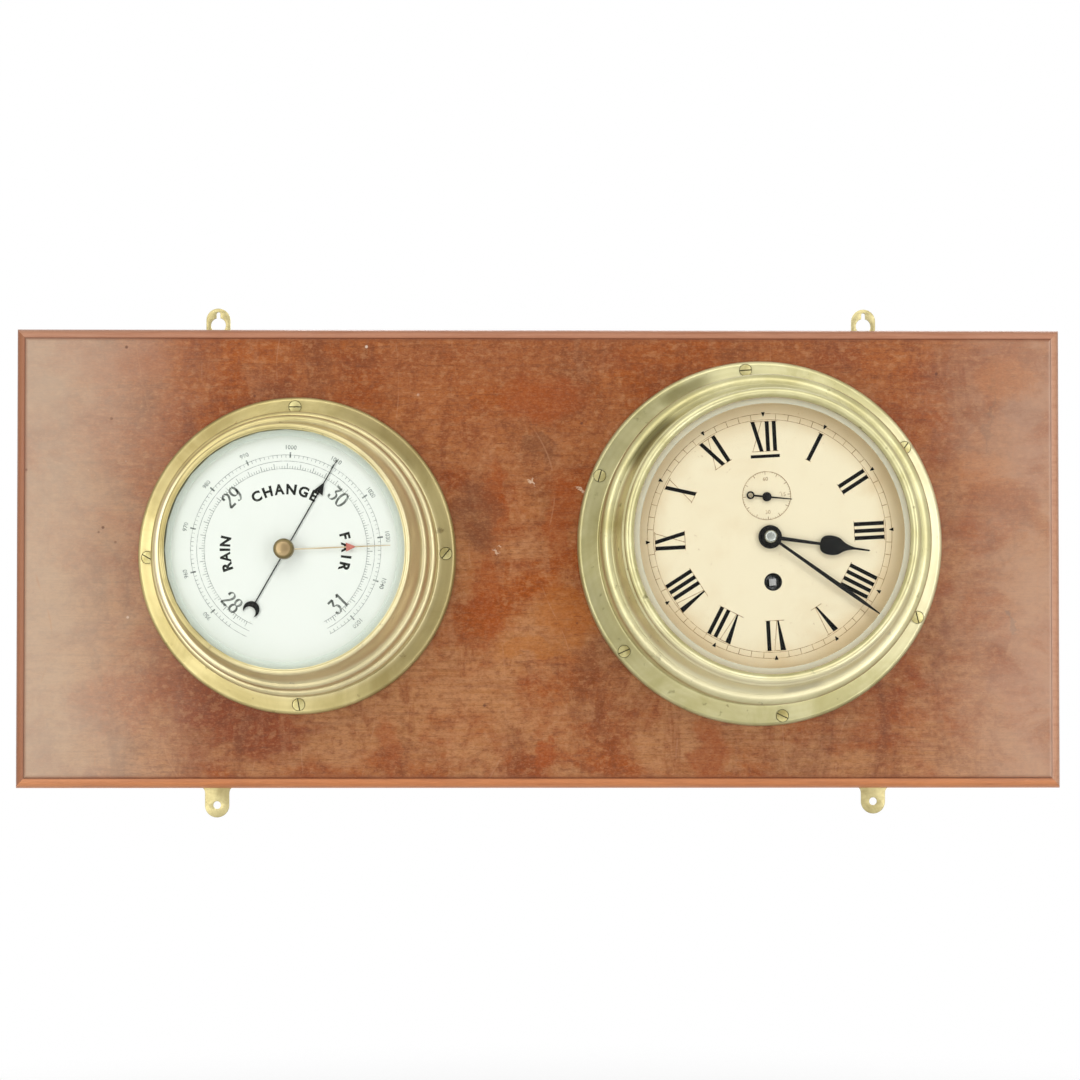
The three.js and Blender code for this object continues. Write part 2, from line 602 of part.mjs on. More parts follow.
function board() {
  const quirk = BOARD_THICKNESS - MOULD_QUIRK;
  const round = bend([0, BOARD_THICKNESS - MOULD_DROP], [0, quirk], [MOULD_WIDTH, quirk], CURVE_STEPS);
  const profile = [[0, 0], ...round, [MOULD_WIDTH, BOARD_THICKNESS]];
  const ring = ([inset, z]) => [BOARD_WIDTH / 2 - inset, BOARD_HEIGHT / 2 - inset, z];
  const slab = skinRectangles(profile.map(ring));
  const pockets = [
    ...TOP_PLATE_X.map((x) => platePocket(x, 1, PLATE_WIDTH / 2)),
    ...EAR_X.map((x) => platePocket(x, -1, PLATE_WIDTH / 2 + EAR_FLARE)),
  ];
  const pilots = [
    ...pilotHoles([CLOCK_X, CLOCK_Y], CLOCK_TURN, CLOCK_FLANGE_THICKNESS, CLOCK_SCREW_PLACES),
    ...pilotHoles([BARO_X, BARO_Y], 0, BARO_FLANGE_THICKNESS, BARO_SCREW_PLACES),
  ];
  return piece("mahogany_board", MAHOGANY, fashion([slab], [...pockets, ...pilots]));
}

/** Two screw holes in a plate's tail, which runs to the given side of the edge. */
const tailHoles = (side) =>
  TAIL_HOLES.map((share) => circle(PLATE_SCREW_RADIUS, ROD_SIDES, [0, -side * share * PLATE_TAIL]));

function keyholeHanger(name, x) {
  const half = PLATE_WIDTH / 2;
  const outline = [
    ...arc([0, TOP_PLATE_RISE - half], half, 0, 180, ROD_SIDES),
    ...arc([0, half - PLATE_TAIL], half, 180, 360, CURVE_STEPS),
  ];
  const mouth = (Math.asin(KEYHOLE_SLOT_RADIUS / KEYHOLE_ENTRY_RADIUS) * 180) / Math.PI;
  const slotTop = TOP_PLATE_RISE - KEYHOLE_TIP_WALL - KEYHOLE_SLOT_RADIUS;
  const keyhole = [
    ...arc([0, KEYHOLE_ENTRY_RADIUS], KEYHOLE_ENTRY_RADIUS, 90 + mouth, 450 - mouth, SPIRAL_STEPS),
    ...arc([0, slotTop], KEYHOLE_SLOT_RADIUS, 0, 180, CURVE_STEPS),
  ];
  const plate = sheet(outline, PLATE_RECESS, PLATE_GAUGE, [keyhole, ...tailHoles(1)]);
  return piece(name, DULL_BRASS, fashion([plate]), [x, BOARD_HEIGHT / 2]);
}

function screwEar(name, x, drop) {
  const half = PLATE_WIDTH / 2;
  const wide = half + EAR_FLARE;
  const right = [
    ...arc([0, half - drop], half, -90, 0, CURVE_STEPS),
    ...bend([half, -EAR_FLARE_DROP], [half, 0], [wide, 0], COVE_STEPS),
    [wide, PLATE_TAIL],
  ];
  const plate = sheet(mirrored(right), PLATE_RECESS, PLATE_GAUGE, [
    circle(EAR_HOLE_RADIUS, ROUND_SIDES, [0, EAR_HOLE_EDGE - drop]),
    ...tailHoles(-1),
  ]);
  return piece(name, DULL_BRASS, fashion([plate]), [x, -BOARD_HEIGHT / 2]);
}

/** A right-hand outline, from bottom to top, with its mirror image. */
function mirrored(right) {
  const left = right.filter(([x]) => Math.abs(x) > ON_AXIS).reverse();
  return [...right, ...left.map(([x, y]) => [-x, y])];
}

// Cases, bezels and glasses

/** A flanged drum with a rounded shoulder and a neck that ends in the ledge under the dial. */
function drumCase(r, flangeThickness, flangeRound, shoulder, top, lip, screwPlaces) {
  const drum = revolve([
    [0, 0],
    [r.flange, 0],
    ...arc([r.flange - flangeRound, flangeThickness - flangeRound], flangeRound, 0, 90, CORNER_STEPS),
    [r.wall, flangeThickness],
    ...arc([r.wall - r.round, shoulder - r.round], r.round, 0, 90, CORNER_STEPS),
    [r.neck, shoulder],
    [r.neck, top],
    [r.neck - CASE_WALL - lip, top],
    [r.neck - CASE_WALL - lip, top - LIP_DEPTH],
    [r.neck - CASE_WALL, top - LIP_DEPTH],
    [r.neck - CASE_WALL, shoulder - CASE_WALL],
    [r.wall - CASE_WALL, shoulder - CASE_WALL],
    [r.wall - CASE_WALL, CASE_BACK],
    [0, CASE_BACK],
  ]);
  return fashion([drum], screwRooms(flangeThickness, screwPlaces, SEAT));
}

/** The inner side of a bezel: rim over the glass, rebate, and bore over the neck. */
function bezelBore(r, lid, neckTop, foot) {
  return [
    [r.sight, lid],
    [r.rebate, lid],
    [r.rebate, neckTop + SEAT],
    [r.bore, neckTop + SEAT],
    [r.bore, foot],
  ];
}

function clockBezel() {
  const foot = CLOCK_SHOULDER + SEAT;
  const lid = CLOCK_GLASS_FACE + SEAT;
  const skirt = foot + CLOCK_FOOT_LEDGE;
  const coveTop = [CLOCK.rebate + CLOCK_BEAD_RADIUS, foot + CLOCK_COVE_SHARE * (lid - foot)];
  const beadCentre = [CLOCK.sight + CLOCK_BEAD_RADIUS + SEAT, lid - RIM_EDGE];
  const coveStart = [CLOCK.foot - SEAT, skirt];
  const outline = [
    [CLOCK.foot, foot],
    [CLOCK.foot, skirt],
    ...bend(coveStart, [coveTop[0] + CLOCK_FOOT_LEDGE, skirt + CLOCK_FOOT_WIDTH / 2], coveTop, COVE_STEPS),
    [coveTop[0] + RIM_EDGE, coveTop[1]],
    [coveTop[0] + RIM_EDGE, coveTop[1] + CLOCK_FOOT_LEDGE],
    ...arc(beadCentre, CLOCK_BEAD_RADIUS, BEAD_FROM, BEAD_TO, CURVE_STEPS),
    ...bezelBore(CLOCK, lid, CLOCK_NECK_TOP, foot),
  ];
  return piece("clock_bezel", BRASS, fashion([revolve(outline)]));
}

function barometerBezel() {
  const foot = BARO_SHOULDER + SEAT;
  const lid = BARO_GLASS_FACE + SEAT;
  const height = lid - foot;
  const groove = [BARO.foot - BARO_GROOVE_STEP, foot + BARO_GROOVE_SHARE * height];
  const coveTop = [BARO.rebate + BARO_GROOVE_WIDTH, foot + BARO_COVE_SHARE * height];
  const beadCentre = [BARO.sight + BARO_BEAD_RADIUS + SEAT, lid - RIM_EDGE];
  const ovoloTop = shift(groove, [BARO_GROOVE_WIDTH, 0]);
  const coveStart = shift(groove, [0, BARO_GROOVE_WIDTH]);
  const coveHollow = [coveTop[0] + BARO_GROOVE_WIDTH, coveStart[1] + BARO_GROOVE_STEP];
  const outline = [
    [BARO.foot, foot],
    ...bend([BARO.foot, foot + BARO_FLANGE_ROUND], [BARO.foot, groove[1]], ovoloTop, COVE_STEPS),
    groove,
    coveStart,
    ...bend(shift(coveStart, [-SEAT, SEAT]), coveHollow, coveTop, COVE_STEPS),
    ...arc(beadCentre, BARO_BEAD_RADIUS, BEAD_FROM, BEAD_TO, COVE_STEPS),
    ...bezelBore(BARO, lid, BARO_NECK_TOP, foot),
  ];
  return piece("barometer_bezel", BRASS, fashion([revolve(outline)]));
}

/** A bevelled glass, with a hole at its centre where holeRadius is more than nothing. */
function bevelledGlass(name, r, back, thickness, [bevelWidth, bevelDrop], holeRadius) {
  const edge = r.rebate - SEAT;
  const outline = [
    [holeRadius, back],
    [edge, back],
    [edge, back + thickness - bevelDrop],
    [r.sight - bevelWidth, back + thickness],
    [holeRadius, back + thickness],
  ];
  return piece(name, GLASS, fashion([revolve(outline)]));
}

/** The sprung ring that holds the clock's glass in its bezel from behind. */
function glassRing() {
  const edge = within(CLOCK.rebate);
  const front = CLOCK_GLASS_BACK - SEAT;
  const back = front - GLASS_RING_DEPTH;
  const inner = edge - GLASS_RING_WIDTH;
  return piece("clock_glass_ring", DULL_BRASS, fashion([
    revolve([
      [inner, back],
      [edge, back],
      [edge, front],
      [inner, front],
    ]),
  ]));
}

/** A painted dial with holes, carried on feet that stand on the works behind it. */
function dial(name, paint, r, back, holes, [footRadius, footCircle, footEnd]) {
  const radius = within(Math.min(r.neck, r.rebate));
  const face = sheet(circle(radius, SHELL_SIDES), back, DIAL_THICKNESS, holes);
  const feet = Array.from({ length: DIAL_FEET }, (_, i) =>
    rod(footRadius, footEnd, back + DIAL_THICKNESS / 2, polar(footCircle, 90 + (360 * i) / DIAL_FEET)),
  );
  return piece(name, paint, fashion([face, ...feet]));
}

// Gears

/** Outline of a toothed wheel with one tooth centred at the phase, in degrees. */
function toothed(teeth, module, phase) {
  const pitchRadius = (teeth * module) / 2;
  const root = pitchRadius - DEDENDUM * module;
  const tip = pitchRadius + ADDENDUM * module;
  const tooth = [
    [root, -TOOTH_ROOT],
    [tip, 0],
    [root, TOOTH_ROOT],
  ];
  return Array.from({ length: teeth }, (_, i) =>
    tooth.map(([radius, share]) => polar(radius, phase + (360 * (i + share)) / teeth)),
  ).flat();
}

/** Openings between the arms of a crossed-out wheel whose rim has the given inner radius. */
function crossings(rim) {
  const armEdge = (radius) => (Math.asin(ARM_WIDTH / 2 / radius) * 180) / Math.PI;
  return Array.from({ length: WHEEL_ARMS }, (_, i) => {
    const start = (360 * i) / WHEEL_ARMS;
    const end = start + 360 / WHEEL_ARMS;
    return [
      ...arc([0, 0], rim, start + armEdge(rim), end - armEdge(rim), 3),
      ...arc([0, 0], HUB_RADIUS, end - armEdge(HUB_RADIUS), start + armEdge(HUB_RADIUS), 1),
    ];
  });
}

/** Phase of the pinion at b whose gap takes a tooth of the wheel at a, in degrees. */
function meshPhase(a, b, [teeth, leaves], phase = 0) {
  const line = (Math.atan2(b[1] - a[1], b[0] - a[0]) * 180) / Math.PI;
  return line + 180 + 180 / leaves - ((phase - line) * teeth) / leaves;
}

/** The point at one distance from a and another from b, on the given side of the line a to b. */
function apex(a, fromA, b, fromB, side) {
  const [dx, dy] = [b[0] - a[0], b[1] - a[1]];
  const span = Math.hypot(dx, dy);
  const along = (fromA ** 2 - fromB ** 2 + span ** 2) / (2 * span);
  const across = side * Math.sqrt(fromA ** 2 - along ** 2);
  return shift(a, [(along * dx - across * dy) / span, (along * dy + across * dx) / span]);
}

/** The crossed-out wheel of a gear pair. */
function wheel([teeth, , module], z) {
  const rim = module * (teeth / 2 - DEDENDUM - RIM_MODULES);
  return sheet(toothed(teeth, module, 0), z, WHEEL_GAUGE, crossings(rim));
}

/** The pinion of a gear pair, whose leaves reach a little past both faces of the wheel at height z. */
function pinion([, leaves, module], phase, z) {
  return sheet(toothed(leaves, module, phase), z - SEAT, WHEEL_GAUGE + 2 * SEAT);
}

/** An arbor that runs in both plates on pivots. */
function shortArbor() {
  return revolve(
    [
      [0, BACK_PLATE_BACK],
      [PIVOT_RADIUS, BACK_PLATE_BACK],
      [PIVOT_RADIUS, WORKS_BACK + SEAT],
      [ARBOR_RADIUS, WORKS_BACK + SEAT],
      [ARBOR_RADIUS, WORKS_FRONT - SEAT],
      [PIVOT_RADIUS, WORKS_FRONT - SEAT],
      [PIVOT_RADIUS, FRONT_PLATE_FACE],
      [0, FRONT_PLATE_FACE],
    ],
    ROD_SIDES,
  );
}

/** An arbor that goes on through the front plate and the dial. */
function longArbor(radius, end) {
  return revolve(
    [
      [0, BACK_PLATE_BACK],
      [PIVOT_RADIUS, BACK_PLATE_BACK],
      [PIVOT_RADIUS, WORKS_BACK + SEAT],
      [radius, WORKS_BACK + SEAT],
      [radius, end],
      [0, end],
    ],
    ROD_SIDES,
  );
}

// Arbors of the clock, seen from the front
const CENTRE = [0, 0];
const BARREL = [0, -WINDING_DROP];
const FOURTH = [0, SECONDS_RISE];
const INTERMEDIATE = apex(BARREL, reach(BARREL_GEARS), CENTRE, reach(INTERMEDIATE_GEARS), -1);
const THIRD = apex(CENTRE, reach(CENTRE_GEARS), FOURTH, reach(THIRD_GEARS), -1);
const ESCAPE = shift(FOURTH, polar(reach(FOURTH_GEARS), ESCAPE_TURN));
const LEVER = shift(ESCAPE, polar(PALLET_DISTANCE, LEVER_TURN));
const BALANCE = shift(LEVER, polar(LEVER_LENGTH, LEVER_TURN));
const MINUTE_STUD = polar(reach(MINUTE_GEARS), MINUTE_STUD_TURN);
const CLICK_NOSE = shift(BARREL, polar(RATCHET_RADIUS + SEAT, CLICK_TURN));
const CLICK_BACK = shift(CLICK_NOSE, polar(CLICK_WIDTH / 2, CLICK_TURN));
const CLICK_STUD = shift(CLICK_BACK, polar(CLICK_LENGTH, CLICK_TURN + 90));
const CLICK_SPRING_RISE = CLICK_WIDTH / 2 + SEAT + CLICK_SPRING_GAUGE / 2;
const CLICK_SPRING_STUD = shift(
  shift(CLICK_STUD, polar(CLICK_LENGTH, CLICK_TURN + 90)),
  polar(CLICK_SPRING_RISE, CLICK_TURN),
);
const SHORT_ARBORS = [INTERMEDIATE, THIRD, ESCAPE, LEVER, BALANCE];
const CANNON_BORE = CENTRE_ARBOR_RADIUS + PLAY;
const CANNON_RADIUS = CANNON_BORE + CANNON_WALL;
const HOUR_PIPE_BORE = CANNON_RADIUS + PLAY;
const HOUR_PIPE_RADIUS = HOUR_PIPE_BORE + HOUR_PIPE_WALL;
const BARREL_PIVOT_RADIUS = BARREL_ARBOR_RADIUS - CANNON_WALL;

// Frame of the movement

const PILLARS = PILLAR_TURNS.map((turn) => shift([0, -PLATE_DROP], polar(PLATE_RADIUS - PILLAR_EDGE, turn)));
const plateOutline = () => circle(PLATE_RADIUS, SHELL_SIDES, [0, -PLATE_DROP]);
const pivotHole = (at) => circle(PIVOT_RADIUS + PLAY, ROD_SIDES, at);

function backPlate() {
  const holes = [
    ...[...SHORT_ARBORS, CENTRE, FOURTH].map(pivotHole),
    circle(BARREL_PIVOT_RADIUS + PLAY, ROUND_SIDES, BARREL),
  ];
  const plate = sheet(plateOutline(), BACK_PLATE_BACK, MOVEMENT_GAUGE, holes);
  const pillars = PILLARS.map((at) => rod(PILLAR_RADIUS, WORKS_BACK - SEAT, WORKS_FRONT - SEAT, at));
  return piece("back_plate", BRASS, fashion([plate, ...pillars]));
}

function frontPlate() {
  const holes = [
    ...SHORT_ARBORS.map(pivotHole),
    circle(CENTRE_ARBOR_RADIUS + PLAY, ROD_SIDES, CENTRE),
    circle(ARBOR_RADIUS + PLAY, ROD_SIDES, FOURTH),
    circle(BARREL_ARBOR_RADIUS + PLAY, ROUND_SIDES, BARREL),
  ];
  const plate = sheet(plateOutline(), WORKS_FRONT, MOVEMENT_GAUGE, holes);
  const studEnd = WHEEL_GAUGE + LEVEL_SPACE;
  const minuteStud = rod(STUD_RADIUS, WORKS_FRONT + SEAT, HOUR_LEVEL + studEnd, MINUTE_STUD);
  const clickStud = rod(STUD_RADIUS, WORKS_FRONT + SEAT, MINUTE_LEVEL + studEnd, CLICK_STUD);
  const springEnd = shift(BALANCE, [HAIRSPRING_RADIUS + HAIRSPRING_GAUGE + SEAT + STUD_RADIUS, 0]);
  const springStud = rod(STUD_RADIUS, HAIRSPRING_LEVEL, WORKS_FRONT + SEAT, springEnd);
  const leafStud = rod(STUD_RADIUS, WORKS_FRONT + SEAT, MINUTE_LEVEL + studEnd, CLICK_SPRING_STUD);
  return piece("front_plate", BRASS, fashion([plate, minuteStud, clickStud, leafStud, springStud]));
}

// Barrel and winding work

function mainspringBarrel() {
  const [teeth, , module] = BARREL_GEARS;
  const drumRadius = module * (teeth / 2 - DEDENDUM) - SEAT;
  const bore = BARREL_ARBOR_RADIUS + PLAY;
  const top = BARREL_LEVEL + BARREL_DEPTH;
  const drum = revolve(
    [
      [bore, BARREL_LEVEL],
      [drumRadius, BARREL_LEVEL],
      [drumRadius, top],
      [bore, top],
      [bore, top - BARREL_WALL],
      [drumRadius - BARREL_WALL, top - BARREL_WALL],
      [drumRadius - BARREL_WALL, BARREL_LEVEL + BARREL_WALL],
      [bore, BARREL_LEVEL + BARREL_WALL],
    ],
    ROUND_SIDES,
  );
  const ringHole = circle(drumRadius - BARREL_WALL / 2, ROUND_SIDES);
  const ring = sheet(toothed(teeth, module, 0), BARREL_LEVEL, BARREL_TOOTH_FACE, [ringHole]);
  return piece("mainspring_barrel", BRASS, fashion([drum, ring]), BARREL);
}

function mainspring() {
  const [teeth, , module] = BARREL_GEARS;
  const inside = module * (teeth / 2 - DEDENDUM) - SEAT - BARREL_WALL;
  const strip = spiral(
    "mainspring",
    BARREL_ARBOR_RADIUS + SEAT + MAINSPRING_GAUGE / 2,
    inside * Math.cos(Math.PI / ROUND_SIDES) - SEAT - MAINSPRING_GAUGE / 2,
    MAINSPRING_TURNS,
    MAINSPRING_GAUGE,
    BARREL_LEVEL + BARREL_WALL + SEAT,
    BARREL_DEPTH - 2 * BARREL_WALL - 2 * SEAT,
  );
  return piece("mainspring", STEEL, fashion([strip]), BARREL);
}

function windingArbor() {
  const body = revolve(
    [
      [0, BACK_PLATE_BACK],
      [BARREL_PIVOT_RADIUS, BACK_PLATE_BACK],
      [BARREL_PIVOT_RADIUS, WORKS_BACK + SEAT],
      [BARREL_ARBOR_RADIUS, WORKS_BACK + SEAT],
      [BARREL_ARBOR_RADIUS, FRONT_PLATE_FACE + SEAT],
      [0, FRONT_PLATE_FACE + SEAT],
    ],
    ROUND_SIDES,
  );
  const half = WINDING_SQUARE / 2;
  const square = block([-half, -half, FRONT_PLATE_FACE], [half, half, DIAL_BACK - WINDING_SET_BACK]);
  return piece("winding_arbor", STEEL, fashion([body, square]), BARREL);
}

function ratchetWheel() {
  const root = RATCHET_RADIUS - RATCHET_DEPTH;
  const outline = Array.from({ length: RATCHET_TEETH }, (_, i) => [
    polar(RATCHET_RADIUS, (360 * i) / RATCHET_TEETH),
    polar(root, (360 * i) / RATCHET_TEETH),
  ]).flat();
  const half = WINDING_SQUARE / 2 + PLAY;
  const bore = [[-half, -half], [half, -half], [half, half], [-half, half]];
  const disc = sheet(outline, MINUTE_LEVEL, WHEEL_GAUGE, [bore]);
  return piece("ratchet_wheel", STEEL, fashion([disc]), BARREL);
}

/** The pawl that stops the ratchet, drawn with its stud at the origin and its nose along +x. */
function click() {
  const inner = -CLICK_WIDTH / 2;
  const outline = [
    [CLICK_LENGTH, inner],
    [CLICK_LENGTH / 2, CLICK_WIDTH / 3],
    ...arc([0, 0], CLICK_WIDTH / 2, 90, 270, CURVE_STEPS),
  ];
  const pawl = sheet(outline, MINUTE_LEVEL, WHEEL_GAUGE, [circle(STUD_RADIUS + PLAY, ROD_SIDES)]);
  return piece("click", STEEL, fashion([pawl]), CLICK_STUD, CLICK_TURN - 90);
}

/** The leaf that presses on the click's round tail, drawn from its stud at the origin along +x. */
function clickSpring() {
  const half = CLICK_SPRING_GAUGE / 2;
  const tip = CLICK_LENGTH + CLICK_SPRING_TIP;
  const eye = rod(CLICK_SPRING_EYE, MINUTE_LEVEL, MINUTE_LEVEL + WHEEL_GAUGE);
  const leaf = block([0, -half, MINUTE_LEVEL], [tip, half, MINUTE_LEVEL + WHEEL_GAUGE]);
  const hole = rod(STUD_RADIUS + PLAY, MINUTE_LEVEL - SEAT, MINUTE_LEVEL + WHEEL_GAUGE + SEAT);
  return piece("click_spring", STEEL, fashion([eye, leaf], [hole]), CLICK_SPRING_STUD, CLICK_TURN - 90);
}

// Going train

/** A train wheel: its own pinion and its wheel on one arbor. */
function trainWheel(name, at, spindle, leaves, teeth) {
  return piece(name, BRASS, fashion([spindle, leaves, teeth]), at);
}

function intermediateWheel() {
  const phase = meshPhase(BARREL, INTERMEDIATE, BARREL_GEARS);
  const leaves = pinion(BARREL_GEARS, phase, BARREL_LEVEL + (BARREL_TOOTH_FACE - WHEEL_GAUGE) / 2);
  const teeth = wheel(INTERMEDIATE_GEARS, INTERMEDIATE_LEVEL);
  return trainWheel("intermediate_wheel", INTERMEDIATE, shortArbor(), leaves, teeth);
}

function centreWheel() {
  const phase = meshPhase(INTERMEDIATE, CENTRE, INTERMEDIATE_GEARS);
  const spindle = longArbor(CENTRE_ARBOR_RADIUS, NUT_BACK + NUT_HEIGHT);
  const leaves = pinion(INTERMEDIATE_GEARS, phase, INTERMEDIATE_LEVEL);
  return trainWheel("centre_wheel", CENTRE, spindle, leaves, wheel(CENTRE_GEARS, CENTRE_LEVEL));
}

function thirdWheel() {
  const phase = meshPhase(CENTRE, THIRD, CENTRE_GEARS);
  const leaves = pinion(CENTRE_GEARS, phase, CENTRE_LEVEL);
  return trainWheel("third_wheel", THIRD, shortArbor(), leaves, wheel(THIRD_GEARS, THIRD_LEVEL));
}

function fourthWheel() {
  const phase = meshPhase(THIRD, FOURTH, THIRD_GEARS);
  const spindle = longArbor(ARBOR_RADIUS, SECONDS_HAND_BACK + HAND_GAUGE);
  const leaves = pinion(THIRD_GEARS, phase, THIRD_LEVEL);
  return trainWheel("fourth_wheel", FOURTH, spindle, leaves, wheel(FOURTH_GEARS, FOURTH_LEVEL));
}

function escapeWheel() {
  const phase = meshPhase(FOURTH, ESCAPE, FOURTH_GEARS);
  const pitch = 360 / ESCAPE_TEETH;
  const root = ESCAPE_ROOT * ESCAPE_RADIUS;
  const outline = Array.from({ length: ESCAPE_TEETH }, (_, i) => [
    polar(root, pitch * i),
    polar(ESCAPE_RADIUS, pitch * (i + ESCAPE_TIP)),
    polar(root, pitch * (i + ESCAPE_HEEL)),
  ]).flat();
  const teeth = sheet(outline, ESCAPE_LEVEL, WHEEL_GAUGE);
  const leaves = pinion(FOURTH_GEARS, phase, FOURTH_LEVEL);
  return piece("escape_wheel", BRASS, fashion([shortArbor(), teeth, leaves]), ESCAPE);
}

/** The lever, drawn with its arbor at the origin, the balance along +y and the escape wheel along -y. */
function palletLever() {
  const half = LEVER_WIDTH / 2;
  const clear = ESCAPE_RADIUS + PALLET_DROP;
  const armEdge = clear - PALLET_DISTANCE;
  const stoneEdge = Math.sqrt(clear ** 2 - PALLET_SPREAD ** 2) - PALLET_DISTANCE;
  const forkEnd = LEVER_LENGTH - IMPULSE_REACH + IMPULSE_RADIUS;
  const forkRoot = forkEnd - LEVER_WIDTH;
  const slot = 2 * IMPULSE_RADIUS;
  const right = [
    [0, armEdge],
    [PALLET_SPREAD, armEdge],
    [PALLET_SPREAD, stoneEdge],
    [PALLET_SPREAD + half, stoneEdge],
    [PALLET_SPREAD + half, armEdge + half],
    [half, armEdge + LEVER_WIDTH],
    [half, forkRoot - half],
    [slot + half, forkRoot],
    [slot + half, forkEnd],
    [slot, forkEnd],
    [slot, forkRoot],
    [0, forkRoot],
  ];
  const outline = sheet(mirrored(right), ESCAPE_LEVEL, WHEEL_GAUGE);
  return piece("pallet_lever", STEEL, fashion([shortArbor(), outline]), LEVER, LEVER_TURN - 90);
}

/** The balance, drawn at mid swing with its impulse pin on the far side from the lever. */
function balanceWheel() {
  const inner = BALANCE_RADIUS - BALANCE_RIM;
  const hollow = circle(inner, ROUND_SIDES);
  const rim = sheet(circle(BALANCE_RADIUS, ROUND_SIDES), BALANCE_LEVEL, BALANCE_RIM, [hollow]);
  const reachOut = inner + BALANCE_RIM / 2;
  const half = ARM_WIDTH / 2;
  const arm = block([-reachOut, -half, BALANCE_LEVEL], [reachOut, half, BALANCE_LEVEL + WHEEL_GAUGE]);
  const rollerLevel = ESCAPE_LEVEL + WHEEL_GAUGE + SEAT;
  const roller = rod(ROLLER_RADIUS, rollerLevel, rollerLevel + WHEEL_GAUGE, [0, 0], ROUND_SIDES / 2);
  const pin = rod(IMPULSE_RADIUS, ESCAPE_LEVEL, rollerLevel + SEAT, [IMPULSE_REACH, 0]);
  return piece("balance_wheel", BRASS, fashion([shortArbor(), rim, arm, roller, pin]), BALANCE, LEVER_TURN);
}

function hairspring() {
  const inner = ARBOR_RADIUS + SEAT + HAIRSPRING_GAUGE;
  const depth = WHEEL_GAUGE / 2;
  const wind = [inner, HAIRSPRING_RADIUS, HAIRSPRING_TURNS, HAIRSPRING_GAUGE];
  const strip = spiral("hairspring", ...wind, HAIRSPRING_LEVEL, depth);
  return piece("hairspring", STEEL, fashion([strip]), BALANCE);
}

// Motion work

function cannonPinion() {
  const pipe = revolve(
    [
      [CANNON_BORE, MINUTE_LEVEL - SEAT],
      [CANNON_RADIUS, MINUTE_LEVEL - SEAT],
      [CANNON_RADIUS, MINUTE_HAND_BACK + HAND_GAUGE],
      [CANNON_BORE, MINUTE_HAND_BACK + HAND_GAUGE],
    ],
    PIPE_SIDES,
  );
  const leaves = toothed(MINUTE_GEARS[1], MINUTE_GEARS[2], meshPhase(MINUTE_STUD, CENTRE, MINUTE_GEARS));
  const bore = circle((CANNON_BORE + CANNON_RADIUS) / 2, PIPE_SIDES);
  const pinionLeaves = sheet(leaves, MINUTE_LEVEL - SEAT, WHEEL_GAUGE + 2 * SEAT, [bore]);
  return piece("cannon_pinion", STEEL, fashion([pipe, pinionLeaves]));
}

function minuteWheel() {
  const pinionFace = HOUR_LEVEL + WHEEL_GAUGE + SEAT - MINUTE_LEVEL;
  const phase = meshPhase(CENTRE, MINUTE_STUD, HOUR_GEARS);
  const disc = sheet(toothed(MINUTE_GEARS[0], MINUTE_GEARS[2], 0), MINUTE_LEVEL, WHEEL_GAUGE);
  const leaves = sheet(toothed(HOUR_GEARS[1], HOUR_GEARS[2], phase), MINUTE_LEVEL, pinionFace);
  const bore = rod(STUD_RADIUS + PLAY, MINUTE_LEVEL - SEAT, MINUTE_LEVEL + pinionFace + SEAT);
  return piece("minute_wheel", BRASS, fashion([disc, leaves], [bore]), MINUTE_STUD);
}

function hourWheel() {
  const pipe = revolve(
    [
      [HOUR_PIPE_BORE, HOUR_LEVEL],
      [HOUR_PIPE_RADIUS, HOUR_LEVEL],
      [HOUR_PIPE_RADIUS, HOUR_HAND_BACK + HAND_GAUGE],
      [HOUR_PIPE_BORE, HOUR_HAND_BACK + HAND_GAUGE],
    ],
    PIPE_SIDES,
  );
  const bore = circle((HOUR_PIPE_BORE + HOUR_PIPE_RADIUS) / 2, PIPE_SIDES);
  const teeth = sheet(toothed(HOUR_GEARS[0], HOUR_GEARS[2], 0), HOUR_LEVEL, WHEEL_GAUGE, [bore]);
  return piece("hour_wheel", BRASS, fashion([pipe, teeth]));
}

// Clock hands, drawn pointing to twelve and turned to the time shown

const MINUTE_SHOWN = -((TIME_SHOWN * 360) / 60) % 360;
const HOUR_SHOWN = -(TIME_SHOWN * 360) / 720 - HOUR_SLIP;

function hourHand() {
  const half = HOUR_SPADE_WIDTH / 2;
  const stem = HOUR_STEM_WIDTH / 2;
  const neck = [HOUR_NECK * stem, HOUR_SPADE_START];
  const shoulder = [half, HOUR_SPADE_CENTRE];
  const throat = [HOUR_THROAT * half, HOUR_SPADE_CENTRE + HOUR_SPADE_WIDTH];
  const full = [half, HOUR_SPADE_CENTRE + HOUR_FULLNESS * HOUR_SPADE_WIDTH];
  const right = [
    [stem, HOUR_BOSS_RADIUS - 2 * stem],
    ...bend(neck, [half, HOUR_SPADE_START], shoulder, CURVE_STEPS),
    ...bend(shoulder, full, throat, CURVE_STEPS).slice(1),
    [0, HOUR_HAND_LENGTH],
  ];
  const boss = sheet(circle(HOUR_BOSS_RADIUS, ROUND_SIDES), HOUR_HAND_BACK, HAND_GAUGE);
  const bore = rod(HOUR_PIPE_RADIUS + PLAY, DIAL_FACE, MINUTE_HAND_BACK, [0, 0], PIPE_SIDES);
  const blade = sheet(mirrored(right), HOUR_HAND_BACK, HAND_GAUGE);
  return piece("hour_hand", BLACKENED, fashion([boss, blade], [bore]), CENTRE, HOUR_SHOWN);
}

